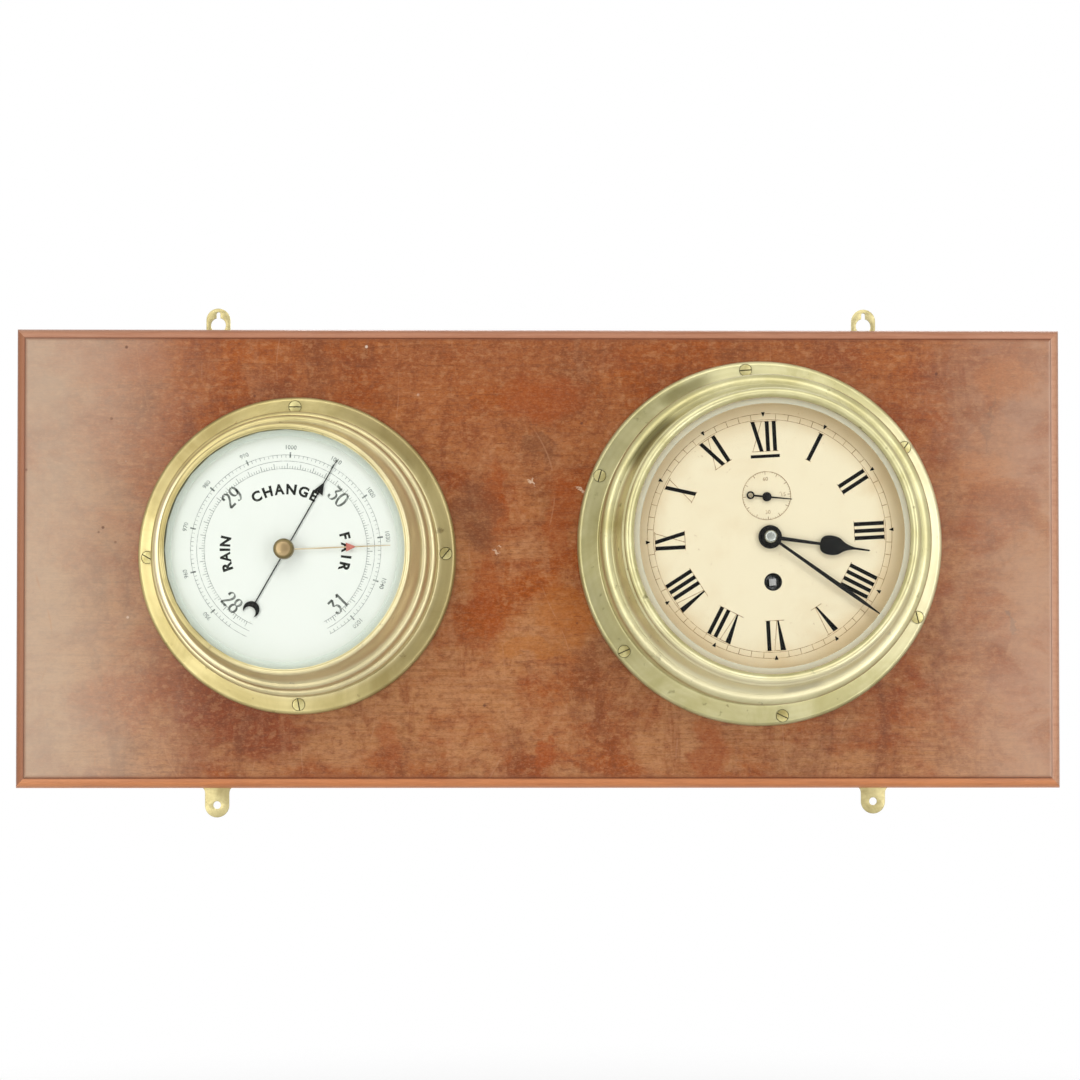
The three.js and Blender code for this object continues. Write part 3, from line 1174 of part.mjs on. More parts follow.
function minuteHand() {
  const length = CLOCK_SIGHT_RADIUS - MINUTE_TIP_SPACE;
  const half = MINUTE_HAND_WIDTH / 2;
  const right = [
    [half, MINUTE_BOSS_RADIUS - MINUTE_HAND_WIDTH],
    [MINUTE_TAPER * half, MINUTE_POINT * length],
    [0, length],
  ];
  const boss = sheet(circle(MINUTE_BOSS_RADIUS, ROUND_SIDES), MINUTE_HAND_BACK, HAND_GAUGE);
  const blade = sheet(mirrored(right), MINUTE_HAND_BACK, HAND_GAUGE);
  const bore = rod(CANNON_RADIUS + PLAY, HOUR_HAND_BACK, NUT_BACK, [0, 0], PIPE_SIDES);
  return piece("minute_hand", BLACKENED, fashion([boss, blade], [bore]), CENTRE, MINUTE_SHOWN);
}

function secondsHand() {
  const half = HAND_GAUGE / 2;
  const ringAt = [0, -SECONDS_RING_REACH];
  const needle = mirrored([
    [half, SECONDS_RING_RADIUS - HAND_GAUGE - SECONDS_RING_REACH],
    [half / 2, SECONDS_HAND_LENGTH],
  ]);
  const ring = sheet(circle(SECONDS_RING_RADIUS, ROUND_SIDES / 2, ringAt), SECONDS_HAND_BACK, HAND_GAUGE, [
    circle(SECONDS_RING_RADIUS - HAND_GAUGE, ROUND_SIDES / 2, ringAt),
  ]);
  const boss = sheet(circle(SECONDS_BOSS_RADIUS, ROUND_SIDES / 2), SECONDS_HAND_BACK, HAND_GAUGE);
  const blade = sheet(needle, SECONDS_HAND_BACK, HAND_GAUGE);
  const bore = rod(ARBOR_RADIUS + PLAY, DIAL_FACE, HOUR_HAND_BACK);
  const turn = -(SECONDS_SHOWN * 360) / 60;
  return piece("seconds_hand", BLACKENED, fashion([ring, boss, blade], [bore]), FOURTH, turn);
}

function handNut() {
  const bore = CENTRE_ARBOR_RADIUS + PLAY;
  const outline = [
    [bore, NUT_BACK],
    [NUT_RADIUS, NUT_BACK],
    [NUT_RADIUS, NUT_BACK + NUT_HEIGHT / 2],
    [(NUT_RADIUS + bore) / 2, NUT_BACK + NUT_HEIGHT],
    [bore, NUT_BACK + NUT_HEIGHT],
  ];
  return piece("hand_nut", STEEL, fashion([revolve(outline, PIPE_SIDES)]));
}

// Barometer hands

/** A needle with a boss and an arrow head, drawn pointing up, and a tail where its length is given. */
function needle(back, length, tail) {
  const half = NEEDLE_WIDTH / 2;
  const line = mirrored([[half, -tail], [half, ARROW_REACH], [half / 2, length]]);
  const arrow = mirrored([[ARROW_WIDTH / 2, ARROW_REACH], [0, ARROW_REACH + ARROW_LENGTH]]);
  const boss = circle(NEEDLE_BOSS_RADIUS, ROUND_SIDES / 2);
  return [line, arrow, boss].map((outline) => sheet(outline, back, BARO_HAND_GAUGE));
}

function pressureHand() {
  const back = PRESSURE_HAND_BACK;
  const front = back + BARO_HAND_GAUGE;
  const disc = circle(CRESCENT_RADIUS, ROUND_SIDES, [0, -PRESSURE_TAIL_LENGTH]);
  const crescent = sheet(disc, back, BARO_HAND_GAUGE);
  const moonAt = [0, -PRESSURE_TAIL_LENGTH - CRESCENT_RADIUS / 2];
  const moon = rod(CRESCENT_HOLLOW * CRESCENT_RADIUS, BARO_DIAL_FACE, SET_HAND_BACK, moonAt, ROUND_SIDES);
  const bore = rod(POINTER_ARBOR_RADIUS + PLAY, BARO_DIAL_FACE, front + SEAT);
  const tail = PRESSURE_TAIL_LENGTH - CRESCENT_RADIUS + NEEDLE_WIDTH;
  const blade = needle(back, PRESSURE_HAND_LENGTH, tail);
  const hand = fashion([...blade, crescent], [moon, bore]);
  return piece("pressure_hand", BLACKENED, hand, CENTRE, -PRESSURE_SHOWN);
}

function setHand() {
  const bore = rod(SPINDLE_RADIUS + PLAY, PRESSURE_HAND_BACK, BARO_GLASS_BACK);
  const hand = fashion(needle(SET_HAND_BACK, SET_HAND_LENGTH, 0), [bore]);
  return piece("set_hand", BRASS, hand, CENTRE, -SET_SHOWN);
}

function setKnob() {
  const base = BARO_GLASS_FACE + SEAT;
  const rim = base + KNOB_HEIGHT / 3;
  const outline = [
    [0, SET_HAND_BACK - SEAT],
    [SPINDLE_RADIUS, SET_HAND_BACK - SEAT],
    [SPINDLE_RADIUS, base],
    [KNOB_FOOT * KNOB_RADIUS, base],
    [KNOB_RADIUS, (base + rim) / 2],
    ...bend([KNOB_RADIUS, rim], [KNOB_RADIUS, base + KNOB_HEIGHT], [0, base + KNOB_HEIGHT], CURVE_STEPS),
  ];
  return piece("set_knob", BRASS, fashion([revolve(outline, ROUND_SIDES)]));
}

// Aneroid works

/** The round base plate with the two posts that carry the rocking bar. */
function aneroidBase() {
  const half = ROCKER_POST_WIDTH / 2;
  const near = ROCKER_HALF_LENGTH + SEAT;
  const far = near + ROCKER_POST_WIDTH;
  const plate = rod(ANEROID_PLATE_RADIUS, ANEROID_BACK, ANEROID_FACE, CENTRE, SHELL_SIDES);
  const top = ROCKER_LEVEL + ROCKER_POST_WIDTH;
  const posts = [[near, far], [-far, -near]].map(([y0, y1]) =>
    block([ROCKER_X - half, y0, ANEROID_FACE - SEAT], [ROCKER_X + half, y1, top]),
  );
  const bores = axle(PIVOT_RADIUS + PLAY, -far - SEAT, far + SEAT, ROCKER_X, ROCKER_LEVEL);
  return piece("aneroid_base", BRASS, fashion([plate, ...posts], [bores]));
}

/** The vacuum capsule: two corrugated faces soldered at the rim, with a post on its crown. */
function aneroidCapsule() {
  const pitch = (CAPSULE_RADIUS - COLLAR_RADIUS) / (2 * CAPSULE_RIDGES);
  const ridges = Array.from({ length: 2 * CAPSULE_RIDGES }, (_, i) => [
    CAPSULE_RADIUS - pitch * (i + 1),
    CAPSULE_FACE - (i % 2 ? CAPSULE_RIDGE : 0),
  ]);
  const middle = CAPSULE_BACK + CAPSULE_HEIGHT / 2;
  const outline = [
    [0, CAPSULE_BACK],
    [CAPSULE_RADIUS - pitch, CAPSULE_BACK],
    [CAPSULE_RADIUS, middle - CAPSULE_RIDGE],
    [CAPSULE_RADIUS, middle + CAPSULE_RIDGE],
    ...ridges,
    [CAPSULE_POST_RADIUS, CAPSULE_FACE],
    [CAPSULE_POST_RADIUS, COLLAR_LEVEL],
    [COLLAR_RADIUS, COLLAR_LEVEL],
    [COLLAR_RADIUS, COLLAR_LEVEL + COLLAR_HEIGHT],
    [0, COLLAR_LEVEL + COLLAR_HEIGHT],
  ];
  return piece("aneroid_capsule", STEEL, fashion([revolve(outline, ROUND_SIDES)]));
}

/** The C-shaped leaf spring that holds the capsule open, drawn in its side view and spread to its width. */
function capsuleSpring() {
  const foot = CAPSULE_BACK;
  const top = LEAF_LEVEL + LEAF_GAUGE;
  const side = [
    [-LEAF_BACK + LEAF_FOOT, foot],
    [-LEAF_BACK - LEAF_GAUGE, foot],
    [-LEAF_BACK - LEAF_GAUGE, top - LEAF_GAUGE],
    [-LEAF_BACK, top],
    [LEAF_REACH, top],
    [LEAF_REACH, LEAF_LEVEL],
    [-LEAF_BACK, LEAF_LEVEL],
    [-LEAF_BACK, foot + LEAF_GAUGE],
    [-LEAF_BACK + LEAF_FOOT, foot + LEAF_GAUGE],
  ];
  const strip = sheet(side, -LEAF_WIDTH / 2, LEAF_WIDTH).rotateX(Math.PI / 2);
  const boreRadius = CAPSULE_POST_RADIUS + COLLAR_SPACE;
  const bore = rod(boreRadius, LEAF_LEVEL - SEAT, top + SEAT, CENTRE, ROUND_SIDES / 2);
  return piece("capsule_spring", STEEL, fashion([strip], [bore]));
}

/** The lever that lies on the leaf spring and lengthens its motion as far as the rocking bar. */
function mainLever() {
  const half = BEAM_WIDTH / 2;
  const end = ROCKER_X - ROCKER_RADIUS - SEAT;
  const high = BEAM_LEVEL + BEAM_GAUGE;
  const beam = block([-BEAM_TAIL, BEAM_OFFSET - half, BEAM_LEVEL], [end, BEAM_OFFSET + half, high]);
  return piece("main_lever", BRASS, fashion([beam]));
}

/** The rocking bar: an axle with a short finger on the lever and a long arm that pulls the chain. */
function rockingBar() {
  const half = CHAIN_GAUGE / 2;
  const reachOut = ROCKER_HALF_LENGTH + ROCKER_POST_WIDTH;
  const body = axle(ROCKER_RADIUS, -ROCKER_HALF_LENGTH, ROCKER_HALF_LENGTH, ROCKER_X, ROCKER_LEVEL);
  const pivots = axle(PIVOT_RADIUS, -reachOut, reachOut, ROCKER_X, ROCKER_LEVEL);
  const finger = block(
    [ROCKER_X - ROCKER_FINGER, BEAM_OFFSET - half, ROCKER_LEVEL - half],
    [ROCKER_X, BEAM_OFFSET + half, ROCKER_LEVEL + half],
  );
  const armSide = CHAIN_SIDE - CHAIN_GAUGE - SEAT;
  const arm = block(
    [ROCKER_X - half, armSide - ROCKER_ARM_WIDTH, ROCKER_LEVEL],
    [ROCKER_X + half, armSide, CHAIN_LEVEL + CHAIN_GAUGE],
  );
  return piece("rocking_bar", STEEL, fashion([body, pivots, finger, arm]));
}

const CHAIN_SIDE = -DRUM_RADIUS - SEAT;

/** The fine chain from the rocking bar's arm to the pointer's drum, pulled straight. */
function chain() {
  const half = CHAIN_GAUGE / 2;
  const low = [0, CHAIN_SIDE - CHAIN_GAUGE, CHAIN_LEVEL - half];
  const high = [ROCKER_X + half, CHAIN_SIDE, CHAIN_LEVEL + half];
  return piece("pointer_chain", STEEL, fashion([block(low, high)]));
}

function arborBridge() {
  const half = BRIDGE_WIDTH / 2;
  const end = BRIDGE_POST_REACH + half;
  const front = BRIDGE_LEVEL + BRIDGE_GAUGE;
  const bar = block([-half, -end, BRIDGE_LEVEL], [half, end, front]);
  const posts = [1, -1].map((side) =>
    rod(BRIDGE_POST_RADIUS, ANEROID_FACE + SEAT, BRIDGE_LEVEL + SEAT, [0, side * BRIDGE_POST_REACH]),
  );
  const bore = rod(PIVOT_RADIUS + PLAY, BRIDGE_LEVEL - SEAT, front + SEAT);
  return piece("arbor_bridge", BRASS, fashion([bar, ...posts], [bore]));
}

function pointerArbor() {
  const shoulder = BRIDGE_LEVEL + BRIDGE_GAUGE + SEAT;
  const end = PRESSURE_HAND_BACK + BARO_HAND_GAUGE;
  const outline = [
    [0, BRIDGE_LEVEL],
    [PIVOT_RADIUS, BRIDGE_LEVEL],
    [PIVOT_RADIUS, shoulder],
    [POINTER_ARBOR_RADIUS, shoulder],
    [POINTER_ARBOR_RADIUS, DRUM_LEVEL],
    [DRUM_RADIUS, DRUM_LEVEL],
    [DRUM_RADIUS, DRUM_LEVEL + DRUM_FACE],
    [POINTER_ARBOR_RADIUS, DRUM_LEVEL + DRUM_FACE],
    [POINTER_ARBOR_RADIUS, end],
    [0, end],
  ];
  return piece("pointer_arbor", STEEL, fashion([revolve(outline, ROD_SIDES)]));
}

// Assembly

function clockPieces() {
  const dialHoles = [
    circle(HOUR_PIPE_RADIUS + SEAT, ROUND_SIDES / 2, CENTRE),
    circle(ARBOR_RADIUS + SEAT, ROD_SIDES, FOURTH),
    circle(WINDING_HOLE_RADIUS, ROUND_SIDES, BARREL),
  ];
  const shell = drumCase(
    CLOCK,
    CLOCK_FLANGE_THICKNESS,
    CLOCK_FLANGE_ROUND,
    CLOCK_SHOULDER,
    CLOCK_NECK_TOP,
    CLOCK_DIAL_LIP,
    CLOCK_SCREW_PLACES,
  );
  const bevel = [CLOCK_BEVEL_WIDTH, CLOCK_BEVEL_DROP];
  const foot = [DIAL_FOOT_RADIUS, DIAL_FOOT_CIRCLE, FRONT_PLATE_FACE + SEAT];
  return [
    piece("clock_case", BRASS, shell),
    clockBezel(),
    bevelledGlass("clock_glass", CLOCK, CLOCK_GLASS_BACK, CLOCK_GLASS_THICKNESS, bevel, 0),
    glassRing(),
    dial("clock_dial", CREAM_PAINT, CLOCK, DIAL_BACK, dialHoles, foot),
    ...flangeScrews("clock", CLOCK_FLANGE_THICKNESS, CLOCK_SCREW_PLACES),
    hourHand(),
    minuteHand(),
    secondsHand(),
    handNut(),
    backPlate(),
    frontPlate(),
    mainspringBarrel(),
    mainspring(),
    windingArbor(),
    ratchetWheel(),
    click(),
    clickSpring(),
    intermediateWheel(),
    centreWheel(),
    thirdWheel(),
    fourthWheel(),
    escapeWheel(),
    palletLever(),
    balanceWheel(),
    hairspring(),
    cannonPinion(),
    minuteWheel(),
    hourWheel(),
  ];
}

function barometerPieces() {
  const dialHoles = [circle(POINTER_ARBOR_RADIUS + SEAT, ROD_SIDES, CENTRE)];
  const shell = drumCase(
    BARO,
    BARO_FLANGE_THICKNESS,
    BARO_FLANGE_ROUND,
    BARO_SHOULDER,
    BARO_NECK_TOP,
    BARO_DIAL_LIP,
    BARO_SCREW_PLACES,
  );
  const hole = SPINDLE_RADIUS + PLAY;
  const bevel = [BARO_BEVEL_WIDTH, BARO_BEVEL_DROP];
  const foot = [BARO_FOOT_RADIUS, BARO_FOOT_CIRCLE, ANEROID_FACE + SEAT];
  return [
    piece("barometer_case", BRASS, shell),
    barometerBezel(),
    bevelledGlass("barometer_glass", BARO, BARO_GLASS_BACK, BARO_GLASS_THICKNESS, bevel, hole),
    dial("barometer_dial", WHITE_PAINT, BARO, BARO_DIAL_BACK, dialHoles, foot),
    ...flangeScrews("barometer", BARO_FLANGE_THICKNESS, BARO_SCREW_PLACES),
    pressureHand(),
    setHand(),
    setKnob(),
    aneroidBase(),
    aneroidCapsule(),
    capsuleSpring(),
    mainLever(),
    rockingBar(),
    chain(),
    arborBridge(),
    pointerArbor(),
  ];
}

/** An instrument's pieces, set on the front of the board at its place and turn. */
function onBoard(name, pieces, [x, y], turn) {
  const group = new THREE.Group();
  group.name = name;
  group.position.set(x, y, BOARD_THICKNESS + SEAT);
  group.rotation.z = radians(turn);
  return group.add(...pieces);
}

const assembly = new THREE.Group();
assembly.name = "ships_clock_and_barometer";
assembly.rotation.x = Math.PI / 2;
const SIDES = ["left", "right"];
assembly.add(
  board(),
  ...TOP_PLATE_X.map((x, i) => keyholeHanger(`keyhole_hanger_${SIDES[i]}`, x)),
  ...EAR_X.map((x, i) => screwEar(`screw_ear_${SIDES[i]}`, x, EAR_DROP[i])),
  onBoard("clock", clockPieces(), [CLOCK_X, CLOCK_Y], CLOCK_TURN),
  onBoard("barometer", barometerPieces(), [BARO_X, BARO_Y], 0),
);
export default assembly;
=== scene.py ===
"""A ship's clock and an aneroid barometer in brass cases, side by side on a moulded mahogany board."""

import math
from types import SimpleNamespace

import bmesh
import bpy
import numpy as np
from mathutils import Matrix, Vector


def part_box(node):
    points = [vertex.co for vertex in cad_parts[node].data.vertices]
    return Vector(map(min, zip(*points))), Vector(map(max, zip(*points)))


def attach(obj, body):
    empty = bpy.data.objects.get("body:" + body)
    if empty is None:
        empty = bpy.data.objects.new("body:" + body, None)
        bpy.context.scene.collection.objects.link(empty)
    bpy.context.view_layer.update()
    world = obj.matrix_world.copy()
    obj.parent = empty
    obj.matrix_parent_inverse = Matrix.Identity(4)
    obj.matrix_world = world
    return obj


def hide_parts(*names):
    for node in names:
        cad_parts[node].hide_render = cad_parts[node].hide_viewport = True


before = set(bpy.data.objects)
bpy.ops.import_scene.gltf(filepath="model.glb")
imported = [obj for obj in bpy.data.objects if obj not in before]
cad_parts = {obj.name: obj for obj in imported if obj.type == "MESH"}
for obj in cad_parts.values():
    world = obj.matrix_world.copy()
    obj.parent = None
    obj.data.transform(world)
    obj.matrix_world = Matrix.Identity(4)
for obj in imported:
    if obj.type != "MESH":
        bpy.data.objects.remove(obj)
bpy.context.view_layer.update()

# Sizes are in millimetres. Heights of the instruments are counted from the back of their flanges.

MM = 0.001
ROOT = "board_and_cases"
FINE_SIDES = 224  # sides of a large turned ring
SMALL_SIDES = 48  # sides of a knob, nut or boss
CREASE, GLASS_CREASE = 32.0, 8.0  # degrees; edges that turn more are sharp
MERGE = 1e-7  # metres; points closer than this become one

BOARD_WIDTH, BOARD_HEIGHT, BOARD_THICKNESS = 587.0, 258.0, 19.0
MOULD_WIDTH, MOULD_DROP, MOULD_QUIRK = 5.8, 7.0, 1.0
SEAT = 0.3  # the gap between pieces that seat on each other
INSTRUMENT_BASE = BOARD_THICKNESS + SEAT
CUT_PAST = 5.0  # how far a cutter goes past the board

PLATE_GAUGE, PLATE_WIDTH, PLATE_TAIL, PLATE_RECESS, PLATE_ARRIS = 1.6, 13.6, 24.0, 0.3, 0.2
HANGER_X = {"left": -0.3106 * BOARD_WIDTH, "right": 0.3147 * BOARD_WIDTH}
HANGER_RISE, ENTRY_RADIUS, SLOT_RADIUS, TIP_WALL = 13.8, 4.25, 1.1, 2.0
EAR_X = {"left": -0.3107 * BOARD_WIDTH, "right": 0.3232 * BOARD_WIDTH}
EAR_DROP = {"left": 17.2, "right": 15.2}
EAR_HOLE, EAR_HOLE_EDGE, EAR_FLARE, EAR_FLARE_DROP = 2.2, 7.0, 3.2, 4.0
TAIL_SCREWS = (0.35, 0.75)  # shares of a tail's length

SCREW_RADIUS, SCREW_SINK, SCREW_SLOT, SCREW_CROWN = 3.3, 2.1, 0.9, 0.15
SLOT_STEP = 50.0  # degrees from one screw's slot to the next
HEAD_RECESS, SLOT_SINK, HEAD_TAPER = 0.12, 0.7, 0.62  # a head's edge below the flange, its slot, its cone
CASE_WALL, CASE_BACK, LEDGE_GAUGE, LEDGE_WIDTH, FOOT_FILLET = 2.4, 2.0, 2.2, 7.4, 1.1
BEZEL_EASE = 0.18

CLOCK = SimpleNamespace(
    name="clock", x=0.2102 * BOARD_WIDTH, y=8.0, lean=4.3, screws=6, flange=102.09, flange_face=4.5,
    flange_edge=2.5, wall=90.09, shoulder=40.0, shoulder_edge=4.5, neck=77.8, neck_top=51.5, foot=84.49,
    bore=78.49, rebate=76.6, sight=73.4, glass_edge=76.3, glass_back=62.95, glass_face=65.95, glass_hole=0.0,
    bevel=3.2, bevel_drop=1.1)
THREAD_PITCH, THREAD_DEPTH = 1.5, 0.5
CLOCK_DIAL_FACE, HAND_GAUGE = 53.0, 0.6
HOUR_BACK, MINUTE_BACK, SECONDS_BACK, NUT_BACK = 55.55, 57.45, 54.3, 58.35
SECONDS_RISE, WINDING_DROP = 21.6, 24.0
HOUR_ANGLE, MINUTE_ANGLE, SECONDS_ANGLE = 102.1, 129.5, 99.6  # clockwise from the dial's twelve

BARO = SimpleNamespace(
    name="barometer", x=-0.23 * BOARD_WIDTH, y=1.0, lean=0.0, screws=4, flange=88.61, flange_face=4.0,
    flange_edge=2.3, wall=78.51, shoulder=21.3, shoulder_edge=2.5, neck=65.0, neck_top=52.9, foot=75.51,
    bore=65.61, rebate=66.1, sight=63.7, glass_edge=65.8, glass_back=58.1, glass_face=60.7, glass_hole=1.5,
    bevel=3.7, bevel_drop=1.0)
BARO_DIAL_FACE, NEEDLE_GAUGE, BOSS_RADIUS = 54.4, 0.5, 3.4
PRESSURE_BACK, SET_BACK = 55.3, 56.7
PRESSURE_ANGLE, SET_ANGLE = 29.7, 87.6

INK_LIFT, INK_GAUGE = 0.02, 0.05  # printed marks stand a hair above the paint


# Places: drawings have x to the right, y up and z towards the viewer

def lay_on_board(points):
    """The board's drawing, in millimetres, in the part's frame: x stays, minus z is y, and y is up."""
    x, y, z = points.T
    return np.stack([x, -z, y], -1) * MM


def seat_instrument(case):
    """The placing of an instrument's drawing: turned by its lean, moved to its centre, stood on the board."""
    c, s = math.cos(math.radians(case.lean)), math.sin(math.radians(case.lean))

    def seat(points):
        x, y, z = points.T
        across, up = case.x + c * x - s * y, case.y + s * x + c * y
        return lay_on_board(np.stack([across, up, z + INSTRUMENT_BASE], -1))

    return seat


on_clock = seat_instrument(CLOCK)
on_barometer = seat_instrument(BARO)


# Outlines and profiles

def arc(centre, radius, start, end, steps):
    """Points of a circle about a centre, between two angles in degrees."""
    a = np.radians(np.linspace(start, end, steps + 1))
    return np.stack([centre[0] + radius * np.cos(a), centre[1] + radius * np.sin(a)], -1)


def bend(start, pull, end, steps):
    """A quadratic curve from start to end that leans towards the pull point."""
    t = np.linspace(0, 1, steps + 1)[:, None]
    return (1 - t) ** 2 * np.array(start) + 2 * t * (1 - t) * np.array(pull) + t ** 2 * np.array(end)


def path(*parts):
    """Single points and runs of points, one after the other."""
    return np.vstack([np.atleast_2d(np.asarray(part, float)) for part in parts])


def ease_corners(profile, radius, least=25.0, steps=3):
    """A closed profile whose corners sharper than `least` degrees are cut by small quadratic curves."""
    before, after = profile - np.roll(profile, 1, 0), np.roll(profile, -1, 0) - profile
    len_before, len_after = (np.linalg.norm(side, axis=1) for side in (before, after))
    cross = before[:, 0] * after[:, 1] - before[:, 1] * after[:, 0]
    turn = np.abs(np.degrees(np.arctan2(cross, (before * after).sum(1))))
    cut = np.where(turn > least, np.minimum(radius, 0.45 * np.minimum(len_before, len_after)), 0.0)
    start = profile - before / len_before[:, None] * cut[:, None]
    end = profile + after / len_after[:, None] * cut[:, None]
    t = np.linspace(0, 1, steps + 1)[None, :, None]
    eased = (1 - t) ** 2 * start[:, None] + 2 * t * (1 - t) * profile[:, None] + t ** 2 * end[:, None]
    eased = eased.reshape(-1, 2)
    return eased[np.linalg.norm(eased - np.roll(eased, 1, 0), axis=1) > 1e-6]


def smooth_through(points, steps=8):
    """A curve through points: each span is the cubic whose end slopes join the neighbours on both sides."""
    p = np.asarray(points, float)
    ends = np.vstack([2 * p[0] - p[1], p, 2 * p[-1] - p[-2]])
    a, b, c, d = (run[:, None] for run in (ends[:-3], ends[1:-2], ends[2:-1], ends[3:]))
    t = np.linspace(0, 1, steps, endpoint=False)[None, :, None]
    square, cube = 2 * a - 5 * b + 4 * c - d, 3 * b - a - 3 * c + d
    run = 0.5 * (2 * b + (c - a) * t + square * t ** 2 + cube * t ** 3)
    return np.vstack([run.reshape(-1, 2), p[-1:]])


# Surfaces: each is a set of points and a set of four-cornered faces

def grid_faces(rows, columns, ring_rows=False):
    """Faces of a grid that is closed round along its columns, and along its rows where asked."""
    r, c = np.meshgrid(np.arange(rows if ring_rows else rows - 1), np.arange(columns), indexing="ij")
    r2, c2 = (r + 1) % rows, (c + 1) % columns
    corners = [r * columns + c, r * columns + c2, r2 * columns + c2, r2 * columns + c]
    return np.stack(corners, -1).reshape(-1, 4)


def turned(profile, sides=FINE_SIDES):
    """A closed profile of radius and height, swept once about the instrument's axis."""
    a = np.linspace(0, 2 * np.pi, sides, endpoint=False)
    r, h = profile[:, :1], profile[:, 1:]
    points = np.stack([r * np.cos(a), r * np.sin(a), h + 0 * a], -1)
    return points.reshape(-1, 3), grid_faces(len(profile), sides, ring_rows=True)


def along_loop(rows):
    """Rows of closed loops, skinned one to the next, with both end loops drawn in to their middles."""
    first, last = (row.mean(1, keepdims=True) + 0 * row for row in (rows[:1], rows[-1:]))
    rows = np.concatenate([first, rows, last])
    return rows.reshape(-1, 3), grid_faces(rows.shape[0], rows.shape[1])


def blade(outline, back, gauge):
    """A hand's blade: along its length y a flat-backed section, half as wide as the outline, with a ridge."""
    half, y = outline[:, 0], outline[:, 1]
    low, brow, ridge = back + 0 * y, back + 0.55 * gauge + 0 * y, back + gauge + 0 * y
    loop = [(-half, low), (half, low), (half, brow), (0 * half, ridge), (-half, brow)]
    return along_loop(np.stack([np.stack([x, y, z], -1) for x, z in loop], 1))


def slab(inner, outer, back, gauge):
    """A flat bar between two lines of points that run side by side, with a thickness."""
    loop = [(inner, back), (outer, back), (outer, back + gauge), (inner, back + gauge)]
    return along_loop(np.stack([np.column_stack([line, np.full(len(line), z)]) for line, z in loop], 1))


def pen_stroke(line, thick, thin, back):
    """A pen stroke along a line: thin where the line runs across, and thick where it runs up."""
    slope = np.gradient(line, axis=0)
    slope /= np.linalg.norm(slope, axis=1, keepdims=True) + 1e-9
    half = (thin + (thick - thin) * np.abs(slope[:, 1:])) / 2
    aside = np.column_stack([-slope[:, 1], slope[:, 0]]) * half
    return slab(line - aside, line + aside, back, INK_GAUGE)


def joined(*surfaces):
    """Several surfaces as one set of points and faces."""
    starts = np.cumsum([0] + [len(points) for points, _ in surfaces])
    faces = [faces + start for (_, faces), start in zip(surfaces, starts)]
    return np.vstack([points for points, _ in surfaces]), np.vstack(faces)


def moved(surface, x=0.0, y=0.0):
    """A surface shifted to the right and up."""
    points, faces = surface
    return points + [x, y, 0], faces


def swung(surface, degrees, centre=(0.0, 0.0)):
    """A surface drawn about the origin, turned clockwise as the viewer sees it and moved to a centre."""
    points, faces = surface
    c, s = math.cos(math.radians(degrees)), math.sin(math.radians(degrees))
    x, y, z = points.T
    return np.stack([centre[0] + c * x + s * y, centre[1] - s * x + c * y, z], -1), faces


def bars(quads, back, gauge=INK_GAUGE):
    """Flat four-cornered marks, one row of corners each, raised to thin blocks."""
    n = len(quads)
    low, high = (np.concatenate([quads, np.full((n, 4, 1), z)], -1) for z in (back, back + gauge))
    block = np.array([[0, 3, 2, 1], [4, 5, 6, 7], [0, 1, 5, 4], [1, 2, 6, 5], [2, 3, 7, 6], [3, 0, 4, 7]])
    faces = (np.arange(n)[:, None, None] * 8 + block).reshape(-1, 4)
    return np.concatenate([low, high], 1).reshape(-1, 3), faces


def spokes(degrees, inner, outer, width):
    """Corners of straight radial marks at given clockwise angles, from an inner to an outer radius."""
    a = np.radians(np.asarray(degrees, float))[:, None]
    r = np.array([inner, outer, outer, inner])[None, :] + 0 * a
    x = np.array([-0.5, -0.5, 0.5, 0.5])[None, :] * width
    return np.stack([r * np.sin(a) + x * np.cos(a), r * np.cos(a) - x * np.sin(a)], -1)


def ring_line(radius, width, back, start=0.0, end=360.0, steps=180):
    """A printed circle, or part of one between two clockwise angles."""
    inner, outer = (arc((0, 0), radius + side * width / 2, 90 - start, 90 - end, steps) for side in (-1, 1))
    return slab(inner, outer, back, INK_GAUGE)


def settled(holder):
    """A new mesh of an object with all that shapes it."""
    return bpy.data.meshes.new_from_object(holder.evaluated_get(bpy.context.evaluated_depsgraph_get()))


def filled(curve, lift):
    """A filled curve as a surface of triangles at a height, each with its last corner twice."""
    holder = bpy.data.objects.new(curve.name, curve)
    bpy.context.scene.collection.objects.link(holder)
    mesh = settled(holder)
    points = np.zeros(len(mesh.vertices) * 3)
    mesh.vertices.foreach_get("co", points)
    mesh.calc_loop_triangles()
    faces = np.zeros(len(mesh.loop_triangles) * 3, int)
    mesh.loop_triangles.foreach_get("vertices", faces)
    bpy.data.objects.remove(holder)
    bpy.data.curves.remove(curve)
    bpy.data.meshes.remove(mesh)
    return points.reshape(-1, 3) + [0, 0, lift], np.column_stack([faces.reshape(-1, 3), faces[2::3]])


def lettering(words, size, boldness, back, spread=1.0):
    """Printed letters of the plain built-in type, centred on the origin."""
    curve = bpy.data.curves.new("letters", "FONT")
    curve.body, curve.size, curve.offset, curve.extrude = words, size, boldness, INK_GAUGE / 2
    curve.align_x, curve.align_y = "CENTER", "CENTER"
    curve.resolution_u, curve.space_character = 3, spread
    return filled(curve, back + INK_GAUGE / 2)


def bowed(surface, radius, degrees):
    """Lettering bent round the dial: x becomes an angle and y a distance from a radius."""
    points, faces = surface
    a = np.radians(degrees) + points[:, 0] / radius
    r = radius + points[:, 1]
    return np.stack([r * np.sin(a), r * np.cos(a), points[:, 2]], -1), faces


